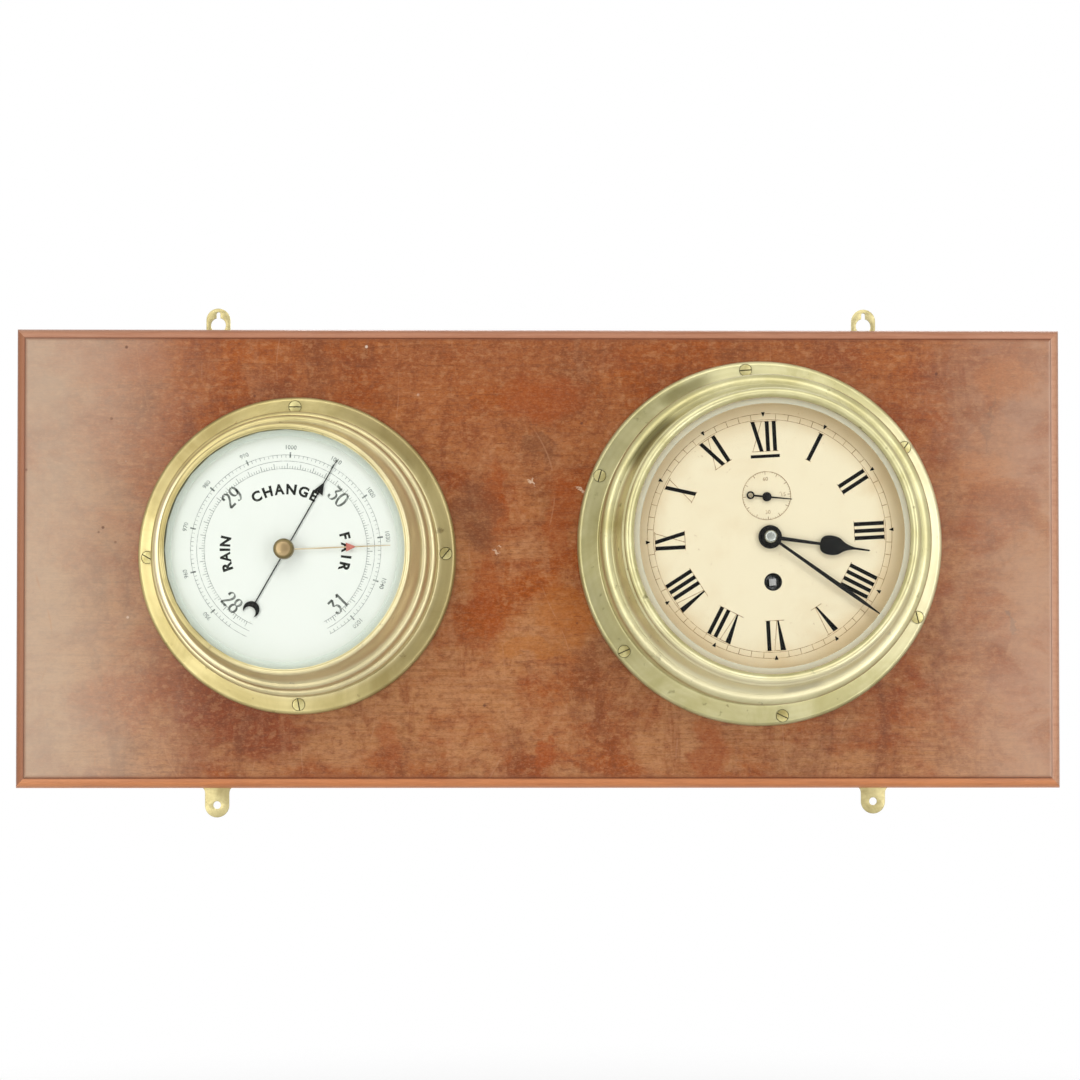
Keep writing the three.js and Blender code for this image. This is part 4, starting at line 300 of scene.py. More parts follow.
def cut_plate(outlines):
    """A sheet-metal plate cut to the first outline, with the others as holes and its edges eased."""
    curve = bpy.data.curves.new("plate", "CURVE")
    curve.dimensions, curve.fill_mode, curve.bevel_resolution = "2D", "BOTH", 1
    curve.extrude, curve.bevel_depth, curve.offset = PLATE_GAUGE / 2 - PLATE_ARRIS, PLATE_ARRIS, -PLATE_ARRIS
    for outline in outlines:
        spline = curve.splines.new("POLY")
        spline.points.add(len(outline) - 1)
        spline.points.foreach_set("co", np.column_stack([outline, 0 * outline]).ravel())
        spline.use_cyclic_u = True
    return filled(curve, PLATE_RECESS + PLATE_GAUGE / 2)


def screw_head(radius, face, crown, slot, sink, bottom, shrink, degrees):
    """A slotted head: chords across it at each y, raised to a dome, dropped in the slot, a cone below."""
    half = slot / 2
    rim = radius * np.cos(np.linspace(0, 0.47 * np.pi, 9))
    y = np.concatenate([-rim, [-half, -half, 0, half, half], rim[::-1]])
    inside = np.concatenate([np.zeros(10), [1, 1, 1], np.zeros(10)])[:, None]
    x = np.linspace(-1, 1, 11)[None, :] * np.sqrt(np.maximum(radius ** 2 - y ** 2, 0))[:, None]
    yy = y[:, None] + 0 * x
    dome = face + crown * (1 - (x ** 2 + yy ** 2) / radius ** 2)
    top = np.stack([x, yy, np.where(inside > 0, face - sink, dome)], -1)
    foot = np.stack([x[:, ::-10] * shrink, yy[:, ::10] * shrink, 0 * yy[:, ::10] + bottom], -1)
    rows = np.concatenate([top, foot], 1)
    return swung((rows.reshape(-1, 3), grid_faces(rows.shape[0], rows.shape[1])), -degrees)


# Pieces

def crease_edges(mesh, degrees):
    """Smooth faces, with sharp edges where they turn by more than an angle."""
    mesh.shade_smooth()
    mesh.set_sharp_from_angle(angle=math.radians(degrees))


def make_piece(name, surface, place, finish, body, slot, *stands_for, crease=CREASE):
    """A drawn surface, put in its place, as a piece with its finish, body and solids it stands for; the slot
    is not used.
    """
    points, faces = surface
    mesh = bpy.data.meshes.new(name)
    mesh.from_pydata(place(points).tolist(), [], [list(dict.fromkeys(face)) for face in faces.tolist()])
    shape = bmesh.new()
    shape.from_mesh(mesh)
    bmesh.ops.remove_doubles(shape, verts=shape.verts, dist=MERGE)
    bmesh.ops.recalc_face_normals(shape, faces=shape.faces)
    shape.to_mesh(mesh)
    shape.free()
    crease_edges(mesh, crease)
    mesh.materials.append(finish)
    piece = bpy.data.objects.new(name, mesh)
    bpy.context.scene.collection.objects.link(piece)
    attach(piece, body)
    if stands_for:
        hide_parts(*stands_for)
    return piece


def cut_away(piece, surface, place):
    """Takes a closed surface away from a piece for good."""
    tool = make_piece("cutter", surface, place, piece.data.materials[0], ROOT, "mahogany")
    cut = piece.modifiers.new("cut", "BOOLEAN")
    cut.operation, cut.object, cut.solver = "DIFFERENCE", tool, "EXACT"
    bpy.context.view_layer.update()
    mesh = settled(piece)
    piece.modifiers.clear()
    spent = [piece.data, tool.data]
    piece.data = mesh
    mesh.name = piece.name
    crease_edges(mesh, CREASE)
    bpy.data.objects.remove(tool)
    for old in spent:
        bpy.data.meshes.remove(old)


# Finishes: the node helpers work in the tree of the outputs that they are given

def tone(red, green, blue):
    """A colour as it is seen on a screen, from 0 to 255, as the light values that a shader takes."""
    seen = np.array([red, green, blue]) / 255
    light = np.where(seen <= 0.04045, seen / 12.92, ((seen + 0.055) / 1.055) ** 2.4)
    return (*light.tolist(), 1.0)


def plug(value, socket):
    """Links another node's output to a socket, or sets a plain value in it."""
    if isinstance(value, bpy.types.NodeSocket):
        socket.id_data.links.new(value, socket)
    else:
        socket.default_value = value


def add(tree, kind, inputs=None, **settings):
    """A node with its settings and inputs, each a value or another node's output. Gives its outputs."""
    made = tree.nodes.new(kind)
    for key, value in settings.items():
        setattr(made, key, value)
    for key, value in (inputs or {}).items():
        plug(value, made.inputs[key])
    return made.outputs


def follow(kind, inputs, **settings):
    """A node in the tree of the outputs that feed it. Gives its outputs."""
    tree = next(value.id_data for value in inputs.values() if isinstance(value, bpy.types.NodeSocket))
    return add(tree, kind, inputs, **settings)


def start_finish(name):
    """A new finish, its shader and the piece's own coordinates in metres."""
    finish = bpy.data.materials.new(name)
    finish.use_nodes = True
    spot = add(finish.node_tree, "ShaderNodeTexCoord")["Object"]
    return finish, finish.node_tree.nodes["Principled BSDF"], spot


def vector(operation, *inputs):
    """Vector arithmetic: a length or a dot product is a value, all else a vector."""
    outputs = follow("ShaderNodeVectorMath", dict(enumerate(inputs)), operation=operation)
    return outputs["Value" if operation in ("LENGTH", "DOT_PRODUCT") else "Vector"]


def part(spot, axis):
    """One of the three coordinates."""
    return follow("ShaderNodeSeparateXYZ", {0: spot})[axis]


def stretch(spot, scale, shift=(0.0, 0.0, 0.0)):
    """Coordinates moved and then stretched along the three axes."""
    return vector("MULTIPLY", vector("ADD", spot, shift), scale)


def shifted(spot, *shift):
    """Coordinates moved along the three axes."""
    return vector("ADD", spot, shift)


def from_axis(spot, case):
    """The flat way from an instrument's axis to a spot, and its length."""
    way = stretch(spot, (1, 0, 1), (-case.x * MM, 0, -case.y * MM))
    return way, vector("LENGTH", way)


def cloud(spot, scale, detail=4.0, rough=0.55, warp=0.0):
    """Soft random patches between nothing and one."""
    inputs = {"Vector": spot, "Scale": scale, "Detail": detail, "Roughness": rough, "Distortion": warp}
    return follow("ShaderNodeTexNoise", inputs)["Fac"]


def between(value, low, high, to_low=0.0, to_high=1.0):
    """A value spread from one span to another and held at its ends."""
    inputs = {"Value": value, "From Min": low, "From Max": high, "To Min": to_low, "To Max": to_high}
    return follow("ShaderNodeMapRange", inputs, interpolation_type="SMOOTHSTEP")["Result"]


def maths(operation, first, second=0.0):
    """Arithmetic on two values."""
    return follow("ShaderNodeMath", {0: first, 1: second}, operation=operation)["Value"]


def times(first, second):
    """Two values multiplied."""
    return maths("MULTIPLY", first, second)


def shade(amount, first, second):
    """Two colours mixed by an amount."""
    return follow("ShaderNodeMix", {0: amount, 6: first, 7: second}, data_type="RGBA", blend_type="MIX")[2]


def wash(colour, value, low, high, thin, thick, stain):
    """A colour with a stain over it, from thin where a value is low to thick where it is high."""
    return shade(between(value, low, high, thin, thick), colour, stain)


def relief(shader, height, strength, distance):
    """Fine relief under the light, without a change of shape."""
    inputs = {"Height": height, "Strength": strength, "Distance": distance}
    plug(follow("ShaderNodeBump", inputs)["Normal"], shader.inputs["Normal"])


def feed(shader, **values):
    """Links values to the shader's sockets, or sets them."""
    for key, value in values.items():
        plug(value, shader.inputs[key.replace("_", " ")])


def mark(spot, x, z, half_x, half_z):
    """A soft round mark on the board: one at its middle, nothing past its edge."""
    away = stretch(spot, (1 / (half_x * MM), 0, 1 / (half_z * MM)), (-x * MM, 0, -z * MM))
    return between(vector("LENGTH", away), 0.6, 1.2, 1.0, 0.0)


def dots(spot, scale, inner, outer, patches, low, high):
    """Small scattered dots, one at their middles, kept only where soft patches are high."""
    inputs = {"Vector": spot, "Scale": scale, "Randomness": 1.0}
    away = follow("ShaderNodeTexVoronoi", inputs)["Distance"]
    return times(between(away, inner, outer, 1.0, 0.0), between(patches, low, high))


# Fields of the wood: stretch along the grain and across it, shift along x and z, detail, roughness, warp
WOOD_FIELDS = {
    "fibre": (30, 420, 0.0, 0.0, 5.0, 0.6, 0.4), "figure": (9, 24, 0.0, 0.0, 5.0, 0.6, 0.9),
    "pores": (160, 1050, 0.0, 0.0, 2.0, 0.6, 0.0), "film": (7, 9, 3.1, 1.7, 8.0, 0.66, 0.7),
    "patch": (24, 38, 0.7, 0.2, 6.0, 0.62, 0.5), "dust": (420, 420, 0.0, 0.0, 3.0, 0.7, 0.0),
    "deep": (16, 11, 1.3, 0.9, 7.0, 0.7, 1.4), "mottle": (66, 24, 0.2, 2.3, 7.0, 0.7, 0.5),
    "speckle": (230, 330, 0.6, 0.8, 3.0, 0.62, 0.0), "lines": (36, 620, 0.4, 0.5, 3.0, 0.6, 0.2),
    "grain": (700, 1500, 0.0, 0.0, 2.0, 0.7, 0.0),
}

# Stains that follow a field: its span, how thick they lie at both ends of it, and their tone
STAINS_BELOW_MARKS = [
    ("deep", 0.5, 0.66, 0.0, 0.6, tone(110, 54, 20)),
    ("mottle", 0.52, 0.66, 0.0, 0.6, tone(128, 58, 12)), ("mottle", 0.32, 0.46, 0.3, 0.0, tone(188, 134, 94)),
    ("speckle", 0.52, 0.66, 0.0, 0.42, tone(112, 50, 14)),
    ("speckle", 0.34, 0.47, 0.34, 0.0, tone(194, 138, 92)),
    ("lines", 0.52, 0.64, 0.0, 0.3, tone(110, 56, 22)),
]
STAINS_ABOVE_MARKS = [
    ("fibre", 0.48, 0.75, 0.0, 0.3, tone(112, 56, 28)), ("dust", 0.45, 0.75, 0.0, 0.24, tone(176, 128, 94)),
    ("pores", 0.58, 0.7, 0.0, 0.4, tone(92, 46, 24)), ("grain", 0.34, 0.52, 0.26, 0.0, tone(98, 54, 22)),
    ("grain", 0.5, 0.68, 0.0, 0.22, tone(188, 132, 84)),
]

# Marks in the board's polish, with one painted shadow beside the barometer's right side: place, half width
# and height, strength and tone
CLEAR, UMBER, PLUM, NICK = tone(152, 68, 8), tone(96, 50, 22), tone(116, 64, 48), tone(222, 192, 164)
BOARD_MARKS = [
    (3.4, -108.0, 8.0, 6.5, 0.85, CLEAR), (-4.0, -51.0, 24.0, 6.0, 0.6, tone(172, 102, 38)),
    (254.0, 84.0, 1.2, 30.0, 0.6, UMBER), (271.0, 83.0, 12.0, 9.0, 0.6, PLUM),
    (2.0, 88.0, 26.0, 14.0, 0.7, CLEAR), (-24.0, 30.0, 7.0, 22.0, 0.65, CLEAR),
    (12.0, 24.0, 9.0, 26.0, 0.6, CLEAR), (-83.0, -106.0, 7.0, 16.0, 0.5, CLEAR),
    (248.0, 48.0, 22.0, 12.0, 0.5, tone(190, 112, 48)), (262.0, 100.0, 20.0, 12.0, 0.5, tone(188, 112, 52)),
    (-238.0, 110.0, 34.0, 12.0, 0.5, CLEAR), (96.0, -108.0, 10.0, 16.0, 0.6, CLEAR),
    # The second mark on the next line is a painted shadow beside the barometer's right side
    (0.0, 62.0, 12.0, 7.0, 0.5, UMBER), (-36.0, 24.0, 15.0, 22.0, 0.5, tone(112, 66, 40)),
    (266.0, -34.0, 1.8, 3.4, 0.8, tone(92, 70, 62)), (-30.0, -22.0, 9.0, 30.0, 0.5, CLEAR),
    (18.0, -32.0, 22.0, 16.0, 0.6, tone(170, 96, 30)), (21.0, 38.0, 2.6, 0.9, 0.9, NICK),
    (-3.0, 44.0, 0.9, 3.2, 0.8, NICK), (-27.0, 5.0, 3.4, 0.9, 0.7, NICK),
]
WOBBLE = 0.036  # metres; how far the edges of the marks wander
# Painted shade in the groove inside the moulded edge, and the painted highlight that replaces it on the right
# side
GROOVE_SHADE, GROOVE_HIGHLIGHT = tone(126, 70, 42), tone(200, 168, 148)


def clouded_wood(fields, upper):
    """Clear wood under a cloudy film, with less of the film's pale tone towards the top of the board."""
    wood = shade(between(fields["figure"], 0.3, 0.7), tone(134, 56, 2), tone(162, 80, 10))
    haze = shade(between(fields["fibre"], 0.3, 0.7), tone(168, 110, 62), tone(182, 126, 82))
    blotch = maths("ADD", fields["film"], times(maths("SUBTRACT", fields["patch"], 0.5), 0.5))
    return shade(times(between(blotch, 0.4, 0.58), between(upper, -0.05, 0.115, 1.0, 0.3)), wood, haze)


def bloomed(colour, fields, across):
    """Painted sheen: the side lamps' reflection in the polish, growing towards the board's left and right
    ends.
    """
    left, right = between(across, -0.286, -0.17, 0.72, 0.0), between(across, 0.2, 0.286, 0.0, 0.72)
    colour = shade(times(left, between(fields["film"], 0.3, 0.6, 0.7, 1.0)), colour, tone(200, 178, 154))
    return shade(times(right, between(fields["patch"], 0.35, 0.6, 0.6, 1.0)), colour, tone(192, 154, 126))


def scuffed(colour, spot, fields, pits):
    """Dark pits, pale specks of paint and a few hair scratches on the polish."""
    specks = dots(shifted(spot, 0.37, 0, 0.11), 44.0, 0.02, 0.05, cloud(spot, 23.0, 1.0), 0.56, 0.62)
    inputs = {"Scale": 9.0, "Distortion": 9.0, "Detail": 2.0, "Detail Scale": 0.7}
    hair = follow("ShaderNodeTexWave", {"Vector": shifted(spot, 0.4, 0, 0.3), **inputs})["Fac"]
    hair = times(between(hair, 0.9985, 0.9998), between(fields["patch"], 0.52, 0.62))
    colour = shade(times(pits, 0.7), colour, tone(84, 42, 28))
    colour = shade(times(specks, 0.8), colour, tone(228, 206, 186))
    return shade(times(hair, 0.28), colour, tone(190, 140, 104))


def edged(colour, spot, across, upper, fibre):
    """The moulded edge with painted light: a tone for each side and for top and bottom as the lamps light it,
    under the grain, and painted shade in the groove inside it, with a painted highlight in its place on the
    right side.
    """
    inset_x, inset_z = (maths("SUBTRACT", size / 2 * MM, maths("ABSOLUTE", part(spot, axis)))
                        for size, axis in ((BOARD_WIDTH, "X"), (BOARD_HEIGHT, "Z")))
    inset, upright = maths("MINIMUM", inset_x, inset_z), maths("LESS_THAN", inset_x, inset_z)
    right, top = (maths("GREATER_THAN", value, 0.0) for value in (across, upper))
    # Painted light on the moulding: darker on the left side, paler on the right, top and bottom each in a
    # tone of its own
    sides = shade(right, tone(154, 92, 56), tone(200, 148, 116))
    lit_rails = shade(top, tone(212, 136, 86), tone(190, 134, 104))
    band = wash(shade(upright, lit_rails, sides), fibre, 0.4, 0.7, 0.0, 0.4, tone(160, 96, 62))
    colour = wash(colour, inset, (MOULD_WIDTH - 0.4) * MM, MOULD_WIDTH * MM, 0.85, 0.0, band)
    # Painted shade along the groove inside the moulding
    groove = times(between(inset, (MOULD_WIDTH - 1.2) * MM, MOULD_WIDTH * MM),
                   between(inset, (MOULD_WIDTH + 0.3) * MM, (MOULD_WIDTH + 2.2) * MM, 0.55, 0.0))
    return shade(groove, colour, shade(times(upright, right), GROOVE_SHADE, GROOVE_HIGHLIGHT))


def polished_mahogany():
    """Old mahogany under hazy polish: clear patches, tan film, fine figure along x, pits, a painted sheen
    towards the ends, painted light and shade on the moulded edge, and a bare back.
    """
    finish, shader, spot = start_finish("polished_mahogany")
    fields = {name: cloud(stretch(spot, (along, aside, aside), (x, 0, z)), 1.0, *kind)
              for name, (along, aside, x, z, *kind) in WOOD_FIELDS.items()}
    inputs = {"Vector": spot, "Scale": 48.0, "Detail": 7.0, "Roughness": 0.65}
    wobble = follow("ShaderNodeTexNoise", inputs)["Color"]
    ragged = shifted(vector("MULTIPLY_ADD", wobble, (WOBBLE,) * 3, spot), *(-WOBBLE / 2,) * 3)
    across, upper = part(ragged, "X"), part(ragged, "Z")
    fibre, pits = fields["fibre"], dots(spot, 62.0, 0.03, 0.075, cloud(spot, 41.0, 1.0), 0.53, 0.6)
    colour = clouded_wood(fields, upper)
    for field, *stain in STAINS_BELOW_MARKS:
        colour = wash(colour, fields[field], *stain)
    for x, z, half_x, half_z, depth, stain in BOARD_MARKS:
        colour = shade(times(mark(ragged, x, z, half_x, half_z), depth), colour, stain)
    for field, *stain in STAINS_ABOVE_MARKS:
        colour = wash(colour, fields[field], *stain)
    colour = scuffed(bloomed(colour, fields, across), spot, fields, pits)
    colour = edged(colour, spot, across, upper, fibre)
    behind = between(part(spot, "Y"), -2.0 * MM, -0.4 * MM)
    bare = shade(between(fibre, 0.3, 0.7), tone(150, 98, 60), tone(118, 70, 40))
    bare = wash(bare, fields["figure"], 0.45, 0.75, 0.0, 0.5, tone(104, 62, 38))
    rough = maths("ADD", between(fields["film"], 0.35, 0.65, 0.3, 0.44), times(behind, 0.3))
    feed(shader, Base_Color=shade(behind, colour, bare), Roughness=rough, Specular_IOR_Level=0.26)
    relief(shader, maths("SUBTRACT", times(fibre, 0.4), maths("ADD", pits, fields["pores"])), 0.14, 0.0004)
    return finish


def lathe_marks(spot, case, spacing):
    """Fine rings about an instrument's axis, as the lathe and the polishing mop leave them."""
    own = shifted(spot, -case.x * MM, 0, -case.y * MM)
    inputs = {"Vector": own, "Scale": 1 / spacing, "Distortion": 0.6, "Detail": 3.0, "Detail Scale": 2.0}
    return follow("ShaderNodeTexWave", inputs, wave_type="RINGS", rings_direction="Y")["Fac"]


def sector(spot, case, degrees, spread, radius, width):
    """A soft streak that runs round an instrument at a radius, to both sides of a clockwise angle."""
    way, out = from_axis(spot, case)
    a = math.radians(degrees)
    facing = vector("DOT_PRODUCT", vector("NORMALIZE", way), (math.sin(a), 0, math.cos(a)))
    along = between(facing, math.cos(math.radians(spread)), math.cos(math.radians(0.4 * spread)))
    off = maths("ABSOLUTE", maths("SUBTRACT", out, radius * MM))
    return times(along, between(off, 0.4 * width * MM, width * MM, 1.0, 0.0))


def turned_brass(name, case, bright, dull, stain, dark_reflections, highlights=()):
    """Turned and polished brass: lathe rings, cloudy tarnish, dark spots, painted dark reflections and
    painted highlights in bands round the axis, uneven polish.
    """
    finish, shader, spot = start_finish(name)
    rings = lathe_marks(spot, case, 0.012)
    handled = cloud(shifted(spot, 0.9, 0.1, 0.5), 60.0, 5.0, 0.6)
    colour = shade(between(cloud(spot, 24.0, 6.0, 0.6, 0.8), 0.36, 0.68), bright, dull)
    colour = wash(colour, rings, 0.2, 0.9, 0.0, 0.16, dull)
    colour = wash(colour, cloud(shifted(spot, 0.3, 0.2, 0.1), 150.0, 4.0, 0.6), 0.63, 0.74, 0.0, 0.7, stain)
    # The stain tone here paints the dark reflections, and the pale tone the highlights
    for patches, over in ((dark_reflections, stain), (highlights, PAINTED_HIGHLIGHT_BRASS)):
        for *where, depth in patches:
            colour = shade(times(sector(spot, case, *where), depth), colour, over)
    feed(shader, Base_Color=colour, Metallic=0.62, Roughness=between(handled, 0.3, 0.75, 0.28, 0.42))
    relief(shader, maths("ADD", times(rings, 0.4), times(handled, 0.8)), 0.1, 0.0003)
    return finish


def plain_metal(name, bright, dull, smooth, rough, grain, shaded_from=None):
    """Worked metal of small pieces: fine brushing, cloudy tone, uneven polish, painted shade past a given
    depth.
    """
    finish, shader, spot = start_finish(name)
    brush = cloud(stretch(spot, (grain, grain / 12, grain)), 1.0, 3.0, 0.6)
    colour = shade(between(cloud(spot, 90.0, 5.0, 0.6, 0.5), 0.35, 0.68), bright, dull)
    # Painted shade: darker past a depth in a slot or hole
    if shaded_from is not None:
        colour = wash(colour, part(spot, "Y"), shaded_from * MM, (shaded_from + 0.25) * MM, 0.0, 0.9, tone(46, 40, 30))
    feed(shader, Base_Color=colour, Metallic=1.0, Roughness=between(brush, 0.3, 0.7, smooth, rough))
    relief(shader, brush, 0.1, 0.0001)
    return finish


def dial_paint(name, case, middle, margin, stain):
    """Old dial paint: paler in the middle, browner to the margin as aged paint and as painted shade under the
    bezel, cloudy, with small brown specks.
    """
    finish, shader, spot = start_finish(name)
    age = cloud(spot, 26.0, 5.0, 0.6, 0.6)
    rim = maths("ADD", from_axis(spot, case)[1], times(age, 0.02))
    # Browner to the margin: partly aged paint, partly painted shade where the bezel overhangs the dial
    colour = shade(between(rim, (0.72 * case.sight + 10) * MM, (case.sight + 12) * MM), middle, margin)
    colour = wash(colour, age, 0.45, 0.75, 0.0, 0.3, margin)
    specks = cloud(shifted(spot, 0.5, 0.1, 0.7), 420.0, 3.0, 0.6)
    colour = wash(colour, specks, 0.68, 0.78, 0.0, 0.5, stain)
    feed(shader, Base_Color=colour, Roughness=between(age, 0.3, 0.7, 0.42, 0.6), Specular_IOR_Level=0.3)
    relief(shader, specks, 0.05, 0.0001)
    return finish


def worn_print(name, ink, faded, low, high):
    """Printing ink that has rubbed thin in places and lets the paint's tone through."""
    finish, shader, spot = start_finish(name)
    rub = cloud(spot, 330.0, 4.0, 0.65, 0.3)
    feed(shader, Base_Color=shade(between(rub, low, high), ink, faded), Specular_IOR_Level=0.08,
         Roughness=between(rub, 0.3, 0.7, 0.45, 0.65))
    return finish


def lacquer(name, dark, light, smooth, rough):
    """Lacquer on a hand: nearly even, with faint clouds and fine dust in the gloss."""
    finish, shader, spot = start_finish(name)
    haze = cloud(spot, 260.0, 4.0, 0.6)
    feed(shader, Base_Color=shade(between(haze, 0.35, 0.75), dark, light), Specular_IOR_Level=0.14,
         Roughness=between(haze, 0.3, 0.7, smooth, rough))
    relief(shader, haze, 0.04, 0.0001)
    return finish


def window_glass(name, case, tint, pale):
    """Clear cover glass: it mirrors more at a slant, its bevelled rim is a pale band of the glass's tint and
    painted reflection, a little dust lies on it.
    """
    finish, shader, spot = start_finish(name)
    out = from_axis(spot, case)[1]
    flat = case.sight - case.bevel
    dust = cloud(spot, 700.0, 3.0, 0.6)
    outer = maths("SUBTRACT", 1.0, add(finish.node_tree, "ShaderNodeNewGeometry")["Backfacing"])
    gloss = add(finish.node_tree, "ShaderNodeLayerWeight", {"Blend": 0.2})["Fresnel"]
    # The bevel is a matt, tinted band that the lamps light: painted reflection of the bevel, with the glass's
    # own tint
    ground = between(out, (flat - 0.2) * MM, (flat + 0.2) * MM)
    rim = times(ground, between(out, flat * MM, case.sight * MM, pale, 0.6 * pale))
    cover = maths("ADD", maths("MAXIMUM", gloss, rim), between(dust, 0.6, 0.8, 0.0, 0.03))
    rough = maths("ADD", between(dust, 0.5, 0.8, 0.03, 0.12), times(ground, 0.3))
    feed(shader, Base_Color=tint, Metallic=maths("SUBTRACT", 1.0, ground), Roughness=rough)
    feed(shader, Alpha=times(cover, outer))
    return finish


# Painted dark reflections and painted highlights on the brass, in bands round the axis: clockwise angle,
# spread to both sides, radius, width and strength
CLOCK_PAINTED_DARK = [(-50.0, 15.0, 83.0, 3.4, 0.9), (-26.0, 11.0, 95.5, 4.5, 0.6), (167.0, 9.0, 82.6, 2.4, 0.75),
                 (-90.0, 80.0, 96.5, 9.0, 0.32), (148.0, 70.0, 97.0, 8.0, 0.24)]
BARO_PAINTED_DARK = [(80.0, 95.0, 84.5, 7.0, 0.34), (35.0, 24.0, 84.5, 5.0, 0.3), (118.0, 44.0, 84.5, 7.0, 0.24),
                (-45.0, 36.0, 84.5, 7.0, 0.34)]
KNOB_PAINTED_DARK = [(0.0, 170.0, 4.8, 1.3, 0.8), (180.0, 170.0, 4.8, 1.3, 0.8)]
CLOCK_PAINTED_HIGHLIGHTS = [(172.0, 80.0, 82.0, 9.0, 0.5), (86.0, 52.0, 97.5, 8.0, 0.36)]
BARO_PAINTED_HIGHLIGHTS = [(118.0, 130.0, 71.5, 11.0, 0.42), (-105.0, 62.0, 74.0, 4.0, 0.7)]
PAINTED_HIGHLIGHT_BRASS = tone(250, 240, 204)

MAHOGANY = polished_mahogany()
CLOCK_BRASS = turned_brass("pale_clock_brass", CLOCK, tone(213, 207, 160), tone(184, 176, 122),
                           tone(104, 96, 50), CLOCK_PAINTED_DARK, CLOCK_PAINTED_HIGHLIGHTS)
BARO_BRASS = turned_brass("golden_barometer_brass", BARO, tone(207, 193, 136), tone(175, 160, 102),
                          tone(106, 86, 42), BARO_PAINTED_DARK, BARO_PAINTED_HIGHLIGHTS)
# The knob's darker tones and its dark ring are a painted reflection of the dark room before it
KNOB_BRASS = turned_brass("worn_knob_brass", BARO, tone(172, 150, 110), tone(146, 124, 86), tone(104, 92, 52),
                          KNOB_PAINTED_DARK)

# Metals of the small pieces: bright and dull tone, least and most roughness, fineness of the brushing
PLATE_BRASS = plain_metal("tarnished_plate_brass", tone(188, 177, 130), tone(158, 146, 102), 0.36, 0.5, 900.0)
SCREW_LOOK = tone(198, 189, 136), tone(160, 148, 96), 0.3, 0.45, 1500.0
SCREW_BRASS = plain_metal("screw_brass", *SCREW_LOOK)
# Screw slots get painted shade from this depth back
SLOT_SHADE_FROM = 0.35 - INSTRUMENT_BASE  # less a flange's height: the frame's y from which a slot is dark
CLOCK_SCREW_BRASS = plain_metal("clock_screw_brass", *SCREW_LOOK, SLOT_SHADE_FROM - CLOCK.flange_face)
BARO_SCREW_BRASS = plain_metal("barometer_screw_brass", *SCREW_LOOK, SLOT_SHADE_FROM - BARO.flange_face)
POINTER_BRASS = plain_metal("set_hand_brass", tone(232, 218, 186), tone(212, 188, 150), 0.3, 0.42, 2400.0)
NUT_STEEL = plain_metal("polished_nut_steel", tone(182, 186, 178), tone(122, 124, 118), 0.24, 0.4, 2400.0)
WORKS_BRASS = plain_metal("works_brass", tone(222, 190, 118), tone(184, 148, 78), 0.22, 0.4, 1300.0)
WORKS_STEEL = plain_metal("works_steel", tone(168, 170, 172), tone(112, 114, 118), 0.2, 0.36, 1700.0)
ARBOR_TIP = min(corner[1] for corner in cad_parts["winding_arbor"].bound_box) / MM
# Painted shade on the winding arbor inside its hole, all but its front tip
ARBOR_STEEL = plain_metal("arbor_steel_shaded_in_hole", tone(176, 176, 172), tone(140, 140, 138), 0.3, 0.45, 1700.0,
                          ARBOR_TIP + 0.4)
CAPSULE_METAL = plain_metal("nickel_silver_capsule", tone(206, 204, 196), tone(160, 156, 146), 0.22, 0.38,
                            1100.0)

# Paints have a middle, a margin that is partly painted shade, and a stain; inks a full and a faded tone, and
# the span in which they fade
CREAM_PAINT = dial_paint("aged_cream_dial", CLOCK, tone(241, 230, 196), tone(222, 198, 154),
                         tone(176, 140, 96))
WHITE_PAINT = dial_paint("white_barometer_dial", BARO, tone(239, 244, 235), tone(231, 238, 227),
                         tone(206, 208, 190))
BLACK_INK = worn_print("black_numeral_ink", tone(12, 11, 10), tone(60, 52, 40), 0.6, 0.8)
FADED_INK = worn_print("faded_line_ink", tone(154, 122, 82), tone(212, 188, 146), 0.42, 0.7)
WORD_INK = worn_print("dark_word_ink", tone(36, 37, 33), tone(92, 95, 88), 0.5, 0.75)
NUMBER_INK = worn_print("faded_number_ink", tone(98, 103, 96), tone(170, 177, 168), 0.42, 0.7)
GREY_INK = worn_print("grey_scale_ink", tone(118, 126, 120), tone(206, 213, 204), 0.42, 0.72)
BLACK_LACQUER = lacquer("black_hand_lacquer", tone(9, 9, 9), tone(26, 24, 22), 0.34, 0.5)
RED_LACQUER = lacquer("red_arrow_lacquer", tone(184, 98, 86), tone(204, 128, 114), 0.35, 0.5)
CLOCK_GLASS = window_glass("clear_clock_glass", CLOCK, tone(212, 218, 198), pale=0.55)
BARO_GLASS = window_glass("green_edged_barometer_glass", BARO, tone(206, 228, 214), pale=0.24)


# The board and its hanging plates

def board_block():
    """Rectangles that follow the edge moulding, inset and raised from back to field, skinned in turn."""
    width, top = MOULD_WIDTH, BOARD_THICKNESS
    quirk, rise = top - MOULD_QUIRK, top - MOULD_DROP
    profile = path((0.6, 0), (0, 0.6), (0, rise - 0.4), (0.25, rise),
                   bend((0.3, rise), (0.5, quirk), (width - 0.2, quirk), 14), (width, quirk - 0.2),
                   bend((width + 0.1, top - 0.8), (width + 0.1, top), (width + 0.9, top), 5))
    corner = np.array([[-1, -1], [1, -1], [1, 1], [-1, 1]])
    half = np.array([BOARD_WIDTH, BOARD_HEIGHT]) / 2
    flat = corner[None] * (half - profile[:, :1])[:, None]
    return along_loop(np.concatenate([flat, np.repeat(profile[:, None, 1:], 4, 1)], -1))


